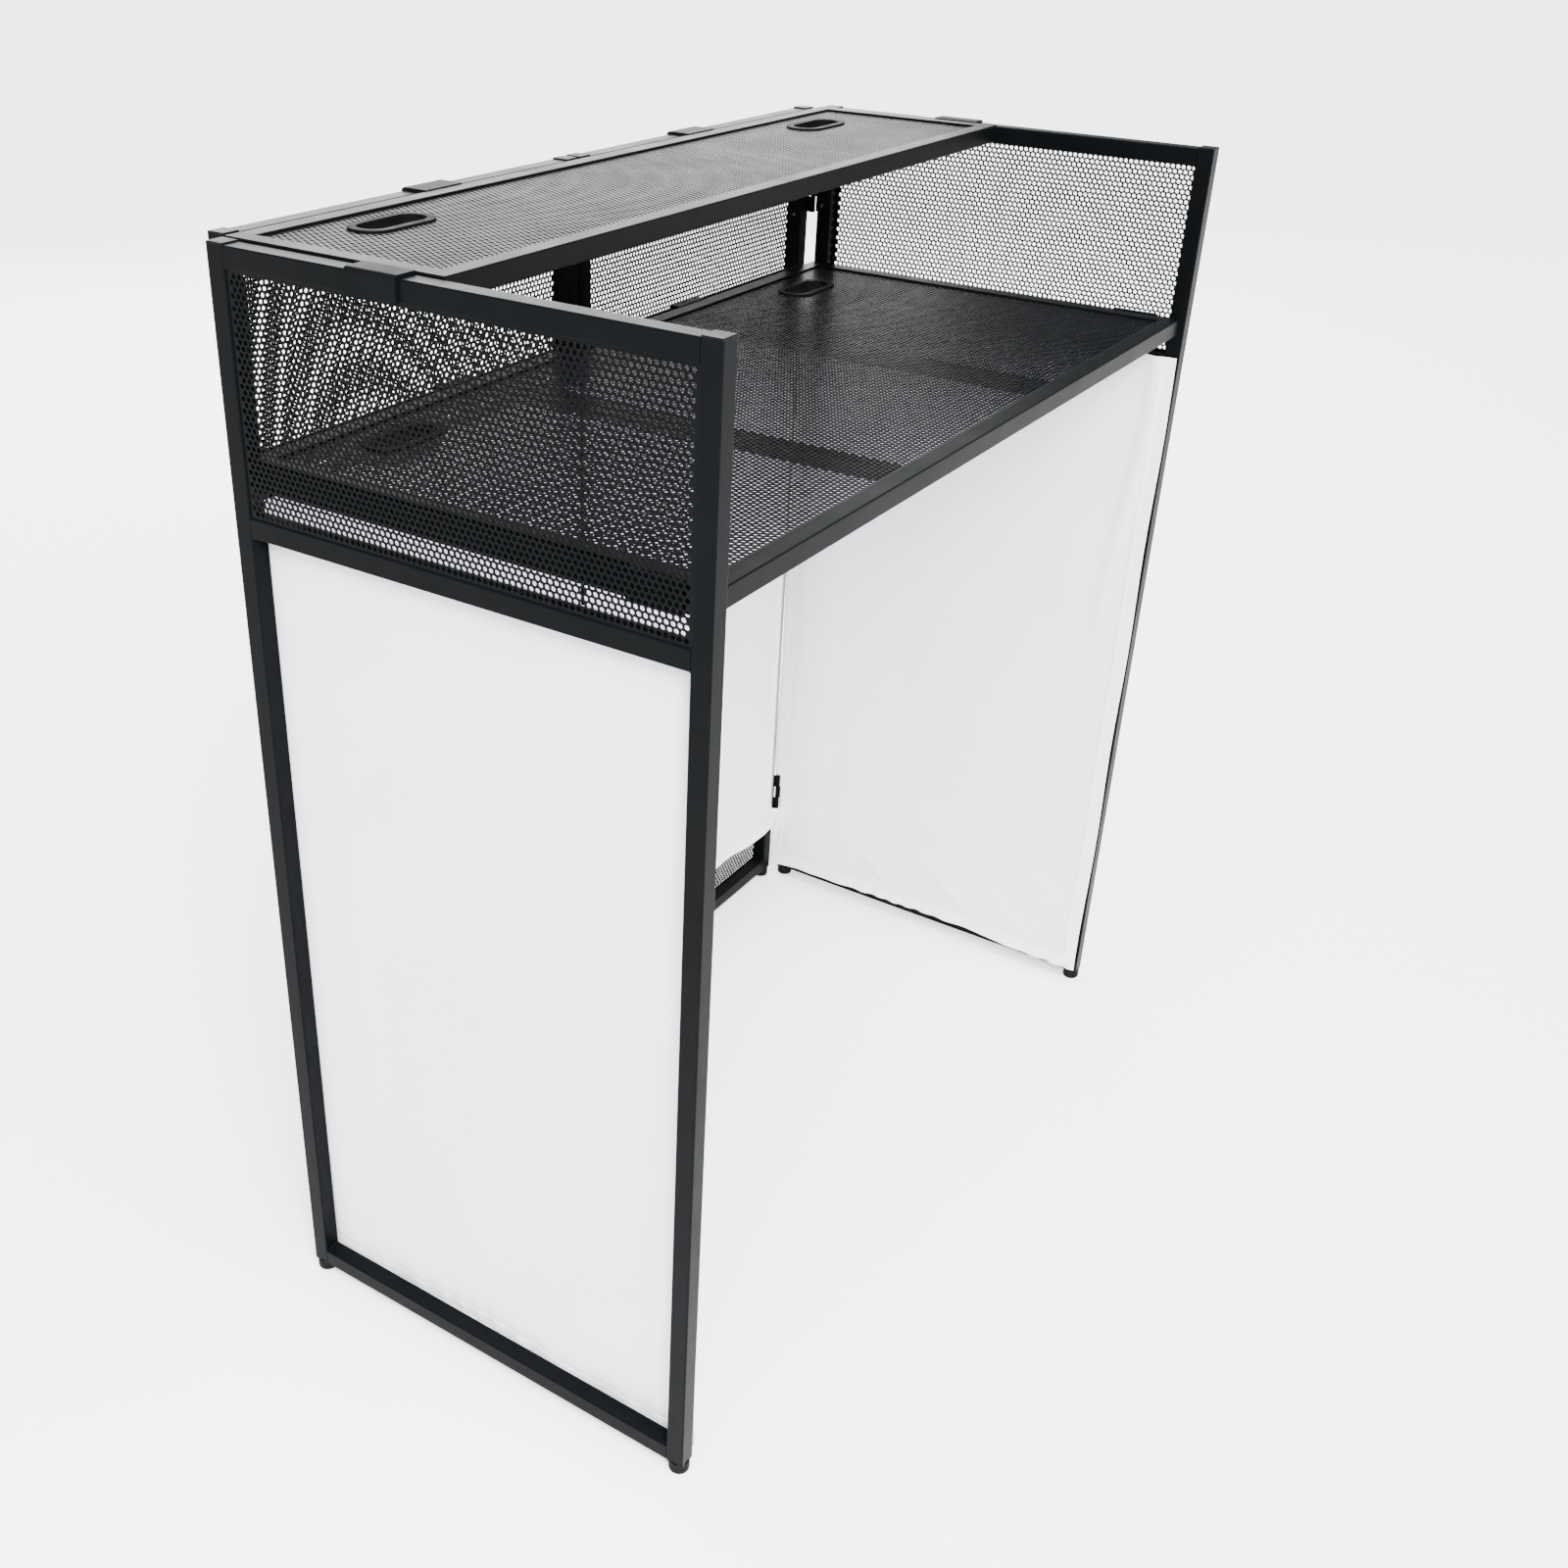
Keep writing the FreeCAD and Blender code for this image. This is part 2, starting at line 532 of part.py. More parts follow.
caps = []
feet = []
for post_name, x, y in post_places:
    cap = new_body(f"cap_{post_name}")
    cap_plan = new_sketch(cap, "plate_plan")
    add_rounded_rectangle(cap_plan, "plate", TUBE, TUBE, "sizes.tube_corner_radius")
    plate = add_pad(cap, "plate", cap_plan, "sizes.cap_thickness")
    plate_top = number("sizes.cap_thickness")
    add_fillet(
        cap,
        "edge",
        plate,
        "sizes.cap_edge_radius",
        lambda edge, ends: all(abs(end.z - plate_top) < 1e-6 for end in ends),
    )
    plug_plan = new_sketch(cap, "plug_plan")
    plug_side = f"{TUBE} - 2 * sizes.tube_wall - 2 * sizes.cap_plug_play"
    add_rectangle(plug_plan, "plug", plug_side, plug_side)
    add_pad(cap, "plug", plug_plan, "sizes.cap_plug_length", downward=True)
    place(cap, x, y, POST_TOP)
    caps.append(cap)

    foot = new_body(f"foot_{post_name}")
    glide_plan = new_sketch(foot, "glide_plan")
    stem_plan = new_sketch(foot, "stem_plan", height="sizes.foot_height")
    for plan, diameter in (
        (glide_plan, "sizes.foot_diameter"),
        (stem_plan, "sizes.foot_stem_diameter"),
    ):
        circle = Part.Circle(FreeCAD.Vector(), FreeCAD.Vector(0, 0, 1), number(diameter) / 2)
        ring = plan.addGeometry(circle, False)
        plan.addConstraint(Sketcher.Constraint("Coincident", ring, 3, -1, 1))
        across = plan.addConstraint(Sketcher.Constraint("Diameter", ring, number(diameter)))
        plan.renameConstraint(across, "across")
        plan.setExpression("Constraints.across", diameter)
    glide = add_pad(foot, "glide", glide_plan, "sizes.foot_height")
    add_fillet(
        foot,
        "edge",
        glide,
        "sizes.foot_edge_radius",
        lambda edge, ends: all(abs(end.z) < 1e-6 for end in ends),
    )
    add_pad(foot, "stem", stem_plan, "sizes.foot_stem_length")
    place(foot, x, y, "0")
    feet.append(foot)
nodes.append(group("post_caps", caps))
nodes.append(group("foot_glides", feet))


# Hinges: two on each front corner and two in the middle of the front. Each leaf lies on the end face
# of a post; the front leaf carries the outer knuckles and the other leaf the middle one.
def hinge_leaf(name, plate_size, plate_centre, bridge_size, bridge_centre, axis, bottom, levels):
    """Leaf of a hinge with its knuckles round the pin axis."""
    solids = [block(f"{name}_plate", (*plate_size, "sizes.hinge_height"), plate_centre, bottom)]
    bores = []
    for position, (low, high) in enumerate(levels):
        knuckle = f"{name}_knuckle_{position}"
        height = f"({high} - {low})"
        base = f"{bottom} + {low}"
        solids.append(block(f"{knuckle}_bridge", (*bridge_size, height), bridge_centre, base))
        solids.append(cylinder(f"{knuckle}_barrel", "sizes.hinge_barrel_radius", height, *axis, base))
        bore_radius = "sizes.hinge_pin_radius + sizes.hinge_pin_play"
        bores.append(cylinder(f"{knuckle}_bore", bore_radius, height, *axis, base))
    leaf = doc.addObject("Part::Cut", name)
    leaf.Base = fuse(f"{name}_solid", solids)
    leaf.Tool = bores[0] if len(bores) == 1 else fuse(f"{name}_bores", bores)
    leaf.Refine = True
    return leaf


THIRD = "sizes.hinge_height / 3"
OUTER_KNUCKLES = (("0", f"{THIRD}"), (f"2 * {THIRD}", "sizes.hinge_height"))
MIDDLE_KNUCKLE = ((f"({THIRD} + sizes.hinge_play)", f"(2 * {THIRD} - sizes.hinge_play)"),)
HINGE_LEVELS = (
    ("upper", f"{POST_TOP} - sizes.upper_hinge_drop - sizes.hinge_height"),
    ("lower", f"{FLOOR} + sizes.lower_hinge_rise"),
)
LEAF = "sizes.hinge_leaf"
LEAF_WIDTH = "sizes.hinge_leaf_width"
HALF_GAP = "sizes.corner_gap / 2"

side_leaves = []
front_leaves = []
centre_leaves = []
pins = []


def add_pin(name, axis, bottom):
    """Pin through the knuckles of one hinge."""
    pin_length = "sizes.hinge_height + 2 * sizes.hinge_pin_stand"
    pin_bottom = f"{bottom} - sizes.hinge_pin_stand"
    pins.append(cylinder(name, "sizes.hinge_pin_radius", pin_length, *axis, pin_bottom))


for level, bottom in HINGE_LEVELS:
    for side, sign in SIDES:
        axis = (f"{sign} * ({FRONT_PANEL_OUTER_END} + {HALF_GAP})", f"{FRONT_INNER_FACE} - {HALF_GAP}")
        front_x = f"{sign} * ({FRONT_PANEL_OUTER_END} + {LEAF} / 2)"
        leaf = hinge_leaf(
            f"{level}_{side}_front_leaf",
            (LEAF, LEAF_WIDTH),
            (front_x, f"{FRONT_INNER_FACE} + {LEAF_WIDTH} / 2"),
            (LEAF, HALF_GAP),
            (front_x, f"{FRONT_INNER_FACE} - {HALF_GAP} / 2"),
            axis,
            bottom,
            OUTER_KNUCKLES,
        )
        front_leaves.append(leaf)
        side_y = f"{SIDE_FRONT_FACE} + {LEAF} / 2"
        leaf = hinge_leaf(
            f"{level}_{side}_side_leaf",
            (LEAF_WIDTH, LEAF),
            (f"{sign} * ({SIDE_INNER_FACE} + {LEAF_WIDTH} / 2)", side_y),
            (HALF_GAP, LEAF),
            (f"{sign} * ({SIDE_INNER_FACE} - {HALF_GAP} / 2)", side_y),
            axis,
            bottom,
            MIDDLE_KNUCKLE,
        )
        side_leaves.append(leaf)
        add_pin(f"{level}_{side}_pin", axis, bottom)

    barrel_reach = "(sizes.hinge_play + sizes.hinge_barrel_radius)"
    axis = ("0", f"{FRONT_OUTER_FACE} + {barrel_reach}")
    for (side, sign), levels in zip(SIDES, (OUTER_KNUCKLES, MIDDLE_KNUCKLE)):
        leaf_x = f"{sign} * ({FRONT_PANEL_INNER_END} - {LEAF} / 2)"
        leaf = hinge_leaf(
            f"{level}_centre_{side}_leaf",
            (LEAF, LEAF_WIDTH),
            (leaf_x, f"{FRONT_OUTER_FACE} - {LEAF_WIDTH} / 2"),
            (LEAF, barrel_reach),
            (leaf_x, f"{FRONT_OUTER_FACE} + {barrel_reach} / 2"),
            axis,
            bottom,
            levels,
        )
        centre_leaves.append(leaf)
    add_pin(f"{level}_centre_pin", axis, bottom)

nodes.append(group("hinge_leaves_on_side_panels", side_leaves))
nodes.append(group("hinge_leaves_on_front_panels", front_leaves))
nodes.append(group("hinge_leaves_in_the_middle", centre_leaves))
nodes.append(group("hinge_pins", pins))

# Scrims: stretched cloth, held by hook-and-loop tape on the inner faces of the tubes.
TAPE = "sizes.tape_thickness"
TAPE_WIDTH = "sizes.tape_width"
SCRIM = "sizes.scrim_thickness"
SCRIM_TOP = f"({MIDDLE_RAIL_TOP} - sizes.scrim_top_drop)"
tapes = []
for side, sign in SIDES:
    scrim_bottom = f"({FLOOR} + sizes.side_scrim_bottom)"
    scrim = block(
        f"{side}_panel_scrim",
        (SCRIM, "sizes.side_panel_depth - 2 * sizes.scrim_edge", f"{SCRIM_TOP} - {scrim_bottom}"),
        (f"{sign} * ({SIDE_INNER_FACE} - {TAPE} - {SCRIM} / 2)", SIDE_MIDDLE),
        scrim_bottom,
    )
    nodes.append(scrim)
    tape_x = f"{sign} * ({SIDE_INNER_FACE} - {TAPE} / 2)"
    upright_bottom = f"({FLOOR} + {TUBE})"
    upright = (TAPE, TAPE_WIDTH, f"{MIDDLE_RAIL_TOP} - {TUBE} - {upright_bottom}")
    for end, tape_y in (
        ("front", f"{SIDE_FRONT_FACE} - {TUBE} / 2"),
        ("rear", f"{REAR_FACE} + {TUBE} / 2"),
    ):
        tapes.append(block(f"{side}_tape_{end}", upright, (tape_x, tape_y), upright_bottom))
    level_tape = (TAPE, f"sizes.side_panel_depth - 2 * {TUBE}", TAPE_WIDTH)
    tape_bottom = f"{MIDDLE_RAIL_TOP} - {TUBE} / 2 - {TAPE_WIDTH} / 2"
    tapes.append(block(f"{side}_tape_top", level_tape, (tape_x, SIDE_MIDDLE), tape_bottom))

for side, sign in SIDES:
    scrim_bottom = f"({FLOOR} + sizes.front_scrim_bottom)"
    scrim = block(
        f"front_{side}_scrim",
        (f"{FRONT_PANEL_WIDTH} - 2 * sizes.scrim_edge", SCRIM, f"{SCRIM_TOP} - {scrim_bottom}"),
        (f"{sign} * {FRONT_PANEL_MIDDLE}", f"{FRONT_INNER_FACE} - {TAPE} - {SCRIM} / 2"),
        scrim_bottom,
    )
    nodes.append(scrim)
    tape_y = f"{FRONT_INNER_FACE} - {TAPE} / 2"
    upright = (TAPE_WIDTH, TAPE, f"{MIDDLE_RAIL_TOP} - {TUBE} - {LOWER_RAIL_TOP}")
    for end, tape_x in (
        ("inner", f"{FRONT_PANEL_INNER_END} + {TUBE} / 2"),
        ("outer", f"{FRONT_PANEL_OUTER_END} - {TUBE} / 2"),
    ):
        tape_place = (f"{sign} * ({tape_x})", tape_y)
        tapes.append(block(f"front_{side}_tape_{end}", upright, tape_place, LOWER_RAIL_TOP))
    level_tape = (f"{FRONT_PANEL_WIDTH} - 2 * {TUBE}", TAPE, TAPE_WIDTH)
    tape_bottom = f"{MIDDLE_RAIL_TOP} - {TUBE} / 2 - {TAPE_WIDTH} / 2"
    tape_place = (f"{sign} * {FRONT_PANEL_MIDDLE}", tape_y)
    tapes.append(block(f"front_{side}_tape_top", level_tape, tape_place, tape_bottom))
nodes.append(group("scrim_tape", tapes))


# Shelf and table: a mitred frame of four tubes with a perforated sheet set in, and two cable ports.
def frame_rails(name, half_length, rear_y, front_y, bottom):
    """Four mitred tubes round a flat opening."""
    length = f"(2 * {half_length})"
    depth = f"({front_y} - {rear_y})"
    middle_y = f"({front_y} + {rear_y}) / 2"
    nodes.append(mitred_rail(f"{name}_rear_rail", length, 0, "0", rear_y, bottom))
    nodes.append(mitred_rail(f"{name}_front_rail", length, 180, "0", front_y, bottom))
    nodes.append(mitred_rail(f"{name}_left_rail", depth, -90, f"-{half_length}", middle_y, bottom))
    nodes.append(mitred_rail(f"{name}_right_rail", depth, 90, half_length, middle_y, bottom))


def grid_openings(name, half_length, low_y, high_y, columns, rows, bottom):
    """Blocks to cut out of a sheet, in even columns and rows over a field of it."""
    pitch_x = f"(2 * {half_length} / {columns})"
    pitch_y = f"(({high_y} - {low_y}) / {rows})"
    size = (f"{pitch_x} - sizes.grid_bar", f"{pitch_y} - sizes.grid_bar", "3 * sizes.sheet_thickness")
    openings = []
    for column in range(columns):
        for row in range(rows):
            centre = (f"{pitch_x} * {column + 0.5 - columns / 2}", f"{low_y} + {pitch_y} * {row + 0.5}")
            openings.append(block(name, size, centre, f"{bottom} - sizes.sheet_thickness"))
    return openings


def port_sheet(name, half_length, rear_y, front_y, bottom, rows):
    """Sheet between the tubes with two oblong cut-outs and a grid of openings behind and between them.

    The origin of the sketch lies between the ports.
    """
    body = new_body(f"{name}_plate")
    plan = new_sketch(body, "plan")
    half_x = number(half_length) - number(TUBE)
    low_y = number(rear_y) + number(TUBE) - number(PORT_Y)
    high_y = number(front_y) - number(TUBE) - number(PORT_Y)
    corners = [(-half_x, low_y), (half_x, low_y), (half_x, high_y), (-half_x, high_y)]
    low, _, high, _ = add_lines(plan, corners)
    plan.addConstraint(Sketcher.Constraint("Symmetric", low, 1, low, 2, -2))
    plan.addConstraint(Sketcher.Constraint("Symmetric", high, 1, high, 2, -2))
    inner_length = f"2 * ({half_length} - {TUBE})"
    bind_distance(plan, "DistanceX", (low, 1), (low, 2), "rear_length", inner_length)
    bind_distance(plan, "DistanceX", (high, 2), (high, 1), "front_length", inner_length)
    bind_distance(plan, "DistanceY", (low, 1), (-1, 1), "rear_reach", f"{PORT_Y} - {rear_y} - {TUBE}")
    bind_distance(plan, "DistanceY", (-1, 1), (high, 1), "front_reach", f"{front_y} - {TUBE} - {PORT_Y}")
    for side, sign in SIDES:
        add_slot(
            plan,
            side,
            f"({SLEEVE_LENGTH} + 2 * sizes.port_play)",
            f"({SLEEVE_WIDTH} + 2 * sizes.port_play)",
            sign,
            PORT_X,
        )
    add_pad(body, "sheet", plan, "sizes.sheet_thickness")
    place(body, "0", PORT_Y, bottom)
    behind_ports = f"({PORT_Y} - sizes.port_width / 2)"
    between_ports = f"({PORT_X} - sizes.port_length / 2)"
    openings = grid_openings(
        f"{name}_rear_opening",
        f"({half_length} - {TUBE})",
        f"({rear_y} + {TUBE})",
        behind_ports,
        GRID_COLUMNS,
        rows,
        bottom,
    )
    openings += grid_openings(
        f"{name}_front_opening",
        between_ports,
        behind_ports,
        f"({front_y} - {TUBE})",
        GRID_COLUMNS_BETWEEN_PORTS,
        1,
        bottom,
    )
    return cut_openings(name, body, openings)


OPENING_LENGTH = "(sizes.port_length - 2 * sizes.port_rim)"
OPENING_WIDTH = "(sizes.port_width - 2 * sizes.port_rim)"
SLEEVE_LENGTH = f"({OPENING_LENGTH} + 2 * sizes.port_wall)"
SLEEVE_WIDTH = f"({OPENING_WIDTH} + 2 * sizes.port_wall)"


def port(name, sign, sheet_top):
    """Moulded cable port: a rim on the sheet and a sleeve through it."""
    body = new_body(name)
    rim_plan = new_sketch(body, "rim_plan")
    add_slot(rim_plan, "rim", "sizes.port_length", "sizes.port_width")
    add_slot(rim_plan, "opening", OPENING_LENGTH, OPENING_WIDTH)
    rim = add_pad(body, "rim", rim_plan, "sizes.port_rim_thickness")
    rim_top = number("sizes.port_rim_thickness")
    rim_reach = (number(OPENING_WIDTH) + number("sizes.port_rim")) / 2

    def outer_upper_edge(edge, ends):
        """Edges at the top of the rim that lie outside the middle of the rim's width."""
        if any(abs(end.z - rim_top) > 1e-6 for end in ends):
            return False
        return all(abs(end.y) > rim_reach for end in ends)

    add_fillet(body, "edge", rim, "sizes.port_rim_edge_radius", outer_upper_edge)
    sleeve_plan = new_sketch(body, "sleeve_plan")
    add_slot(sleeve_plan, "sleeve", SLEEVE_LENGTH, SLEEVE_WIDTH)
    add_slot(sleeve_plan, "opening", OPENING_LENGTH, OPENING_WIDTH)
    add_pad(body, "sleeve", sleeve_plan, "sizes.port_sleeve_depth", downward=True)
    place(body, f"{sign} * {PORT_X}", PORT_Y, sheet_top)
    return body


def hook(name, plate_length, lip_length, rotation, x, y, z):
    """Bent plate: a flat run along X from the origin, then a lip downward at its far end.

    The underside of the run lies on Z = 0 and the hook's width is centred on Y = 0.
    """
    body = new_body(name)
    profile = new_sketch(body, "profile", "XZ_Plane")
    plate = "sizes.hook_plate"
    far = number(plate_length)
    thick = number(plate)
    down = number(lip_length)
    corners = [(0, 0), (far - thick, 0), (far - thick, -down), (far, -down), (far, thick), (0, thick)]
    under, inside, foot, outside, top, start = add_lines(profile, corners)
    for line in (under, foot, top):
        profile.addConstraint(Sketcher.Constraint("Horizontal", line))
    for line in (inside, outside, start):
        profile.addConstraint(Sketcher.Constraint("Vertical", line))
    profile.addConstraint(Sketcher.Constraint("Coincident", under, 1, -1, 1))
    bind_distance(profile, "DistanceX", (foot, 1), (foot, 2), "lip_plate", plate)
    bind_distance(profile, "DistanceY", (start, 2), (start, 1), "run_plate", plate)
    bind_distance(profile, "DistanceX", (top, 2), (top, 1), "reach", plate_length)
    bind_distance(profile, "DistanceY", (foot, 1), (under, 1), "lip", lip_length)
    run = add_pad(body, "run", profile, "sizes.hook_width")
    run.Midplane = True

    def outer_bend(edge, ends):
        """Edge on the outside of the bend."""
        return all(abs(end.x - far) < 1e-6 and abs(end.z - thick) < 1e-6 for end in ends)

    add_fillet(body, "bend", run, "sizes.hook_bend_radius", outer_bend)
    place(body, x, y, z, rotation)
    return body


SIDE_TURNS = {"left": 180, "right": 0}
FRONT_TURN = 90


def frame_hooks(name, edges, grips, level, lip, offset):
    """Two hooks at the front and one at each side of a frame.

    The grips are the far faces of what the lips hold, at the sides and in front, and level is its top.
    """
    half_length, rear_y, front_y = edges
    side_grip, front_grip = grips
    past_grip = "sizes.hook_clearance + sizes.hook_plate"
    front_hooks = []
    side_hooks = []
    for side, sign in SIDES:
        front_hooks.append(
            hook(
                f"{name}_{side}_front_hook",
                f"{front_grip} + {past_grip} - {front_y}",
                lip,
                turned(FRONT_TURN),
                f"{sign} * ({FRONT_PANEL_MIDDLE} - {offset})",
                front_y,
                level,
            )
        )
        side_hooks.append(
            hook(
                f"{name}_{side}_side_hook",
                f"{side_grip} + {past_grip} - {half_length}",
                lip,
                turned(SIDE_TURNS[side]),
                f"{sign} * {half_length}",
                f"{rear_y} + sizes.side_hook_set_back",
                level,
            )
        )
    nodes.append(group(f"{name}_front_hooks", front_hooks))
    nodes.append(group(f"{name}_side_hooks", side_hooks))


SHELF_HALF_LENGTH = f"({SIDE_INNER_FACE} - sizes.shelf_end_gap)"
SHELF_FRONT = f"({FRONT_INNER_FACE} - sizes.shelf_front_gap)"
SHELF_REAR = f"({SHELF_FRONT} - sizes.shelf_depth)"
SHELF_TOP = f"({POST_TOP} + sizes.shelf_rise)"
SHELF_SHEET_TOP = f"({SHELF_TOP} - sizes.shelf_sheet_drop)"
SHELF_SHEET_BOTTOM = f"({SHELF_SHEET_TOP} - sizes.sheet_thickness)"

frame_rails("shelf", SHELF_HALF_LENGTH, SHELF_REAR, SHELF_FRONT, f"{SHELF_TOP} - {TUBE}")
shelf_row_count = 2
nodes.append(
    port_sheet(
        "shelf_sheet", SHELF_HALF_LENGTH, SHELF_REAR, SHELF_FRONT, SHELF_SHEET_BOTTOM, shelf_row_count
    )
)
for side, sign in SIDES:
    nodes.append(port(f"shelf_{side}_port", sign, SHELF_SHEET_TOP))

# Shelf hooks: each plate is welded to a shelf tube, lies on the top rail of a panel and grips its
# outer face with a lip.
frame_hooks(
    "shelf",
    (SHELF_HALF_LENGTH, SHELF_REAR, SHELF_FRONT),
    (HALF_WIDTH, FRONT_OUTER_FACE),
    POST_TOP,
    "sizes.hook_lip",
    "sizes.shelf_hook_offset",
)

TABLE_HALF_LENGTH = f"({SIDE_INNER_FACE} - sizes.table_end_gap)"
TABLE_FRONT = f"({FRONT_INNER_FACE} - sizes.table_front_gap)"
TABLE_REAR = f"({REAR_FACE} + sizes.table_rear_gap)"
TABLE_SHEET_TOP = f"({TABLE_TOP} - sizes.table_sheet_drop)"
TABLE_SHEET_BOTTOM = f"({TABLE_SHEET_TOP} - sizes.sheet_thickness)"

frame_rails("table", TABLE_HALF_LENGTH, TABLE_REAR, TABLE_FRONT, f"{TABLE_TOP} - {TUBE}")
for side, sign in SIDES:
    crossbar = tube(
        f"table_{side}_crossbar",
        turned(90).multiply(ALONG_X),
        f"{TABLE_FRONT} - {TABLE_REAR} - 2 * {TUBE}",
        f"{sign} * {TABLE_HALF_LENGTH} / 3",
        f"{TABLE_REAR} + {TUBE}",
        f"{TABLE_SHEET_BOTTOM} - sizes.crossbar_depth / 2",
        "sizes.crossbar_depth",
    )
    nodes.append(crossbar)
table_row_count = 5
nodes.append(
    port_sheet(
        "table_sheet", TABLE_HALF_LENGTH, TABLE_REAR, TABLE_FRONT, TABLE_SHEET_BOTTOM, table_row_count
    )
)
for side, sign in SIDES:
    nodes.append(port(f"table_{side}_port", sign, TABLE_SHEET_TOP))

# Table hooks: the same bent plates with longer lips, hung over the ledges.
frame_hooks(
    "table",
    (TABLE_HALF_LENGTH, TABLE_REAR, TABLE_FRONT),
    (SIDE_LEDGE_FACE, FRONT_LEDGE_FACE),
    LEDGE_TOP,
    "sizes.table_hook_lip",
    "sizes.table_hook_offset",
)

doc.recompute()

for item in doc.Objects:
    if "Invalid" in item.State or "Error" in item.State:
        raise RuntimeError(f"{item.Label} did not recompute: {item.State}")
for node in nodes:
    if node.Shape.isNull() or not node.Shape.isValid():
        raise RuntimeError(f"{node.Label} has no valid shape")

os.makedirs("parts", exist_ok=True)
for node in nodes:
    node.Shape.exportStep(f"parts/{node.Label}.step")
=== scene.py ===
import math
from functools import partial

import bmesh
import bpy
from mathutils import Matrix, Vector


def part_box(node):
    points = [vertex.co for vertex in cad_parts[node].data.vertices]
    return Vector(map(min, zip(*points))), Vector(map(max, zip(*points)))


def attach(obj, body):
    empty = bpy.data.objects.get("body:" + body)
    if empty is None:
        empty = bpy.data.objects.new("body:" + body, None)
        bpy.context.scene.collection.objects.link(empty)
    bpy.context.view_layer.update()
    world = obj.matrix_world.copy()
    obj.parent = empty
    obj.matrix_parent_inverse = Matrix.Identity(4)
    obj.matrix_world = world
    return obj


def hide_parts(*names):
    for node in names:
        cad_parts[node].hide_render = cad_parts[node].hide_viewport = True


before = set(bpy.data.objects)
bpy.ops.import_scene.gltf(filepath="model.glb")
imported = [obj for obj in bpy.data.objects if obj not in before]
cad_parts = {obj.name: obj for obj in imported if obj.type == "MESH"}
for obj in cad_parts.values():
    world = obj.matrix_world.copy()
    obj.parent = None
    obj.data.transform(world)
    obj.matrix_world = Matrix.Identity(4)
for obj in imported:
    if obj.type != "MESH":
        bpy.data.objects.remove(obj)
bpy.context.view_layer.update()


# Panel tubes: 20 mm square mild steel tube, cut square and welded into flat panels, then powder coated satin
# black all over. The solids have their shape, so they only get the finish.
def linear(hex_colour):
    """Linear colour of an sRGB hex value."""
    parts = [int(hex_colour[i:i + 2], 16) / 255 for i in (1, 3, 5)]
    return [p / 12.92 if p <= 0.04045 else ((p + 0.055) / 1.055) ** 2.4 for p in parts] + [1.0]


def add_node(tree, kind, inputs=None, **settings):
    """One node with its settings; inputs gives a socket a value or the output that feeds it."""
    node = tree.nodes.new(kind)
    for name, value in settings.items():
        setattr(node, name, value)
    for key, value in (inputs or {}).items():
        if isinstance(value, bpy.types.NodeSocket):
            tree.links.new(value, node.inputs[key])
        else:
            node.inputs[key].default_value = value
    return node


def new_material(name):
    """Empty material and its tree."""
    material = bpy.data.materials.new(name)
    material.use_nodes = True
    material.node_tree.nodes.clear()
    return material, material.node_tree


# Polyester powder coat, baked on: a deep black with a low satin gloss that clouds a little where hands and
# cloths have been. Its orange peel is about 1 mm wide and is drawn 2.5 mm wide so that it shows.
PEEL_SIZE = 0.0025
CLOUD_SIZE = 0.06
NOISE_LOW = 0.3
NOISE_HIGH = 0.7


def powder_coat(name, dark, light, smooth, dull, specular):
    material, tree = new_material(name)
    place = add_node(tree, "ShaderNodeTexCoord").outputs["Object"]
    peel = add_node(tree, "ShaderNodeTexNoise", {"Vector": place, "Scale": 1 / PEEL_SIZE, "Detail": 1.0})
    cloud = add_node(tree, "ShaderNodeTexNoise", {"Vector": place, "Scale": 1 / CLOUD_SIZE, "Detail": 4.0})
    shade = add_node(
        tree,
        "ShaderNodeMix",
        {"Factor": cloud.outputs["Fac"], "A": linear(dark), "B": linear(light)},
        data_type="RGBA",
    )
    gloss = add_node(
        tree,
        "ShaderNodeMapRange",
        {
            "Value": cloud.outputs["Fac"],
            "From Min": NOISE_LOW,
            "From Max": NOISE_HIGH,
            "To Min": smooth,
            "To Max": dull,
        },
    )
    skin = add_node(
        tree, "ShaderNodeBump", {"Strength": 0.12, "Distance": 0.0004, "Height": peel.outputs["Fac"]}
    )
    shader = add_node(
        tree,
        "ShaderNodeBsdfPrincipled",
        {
            "Base Color": shade.outputs["Result"],
            "Roughness": gloss.outputs["Result"],
            "Normal": skin.outputs["Normal"],
            "Specular IOR Level": specular,
        },
    )
    add_node(tree, "ShaderNodeOutputMaterial", {"Surface": shader.outputs["BSDF"]})
    return material


tube_coat = powder_coat(
    "satin_powder_coat_on_tube", "#040506", "#08090a", smooth=0.32, dull=0.4, specular=0.022
)


def finish_nodes(material, *names):
    """Give CAD nodes their material."""
    for name in names:
        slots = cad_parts[name].data.materials
        slots.clear()
        slots.append(material)


finish_nodes(tube_coat, *[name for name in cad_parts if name.endswith(("_post", "_rail", "_crossbar"))])


# Weld beads: short fillet welds in the corners where rails butt against posts, under the same coat. Each
# bead is a row of overlapping ripples along its seam.
RIPPLE = 0.0016
BEAD_RADIUS = 0.0016
SEAM_OFFSET = 0.0006
SEAM_INSET = 0.003


def new_object(name, data):
    """Object of a mesh, lamp or camera, in the scene."""
    item = bpy.data.objects.new(name, data)
    bpy.context.scene.collection.objects.link(item)
    return item


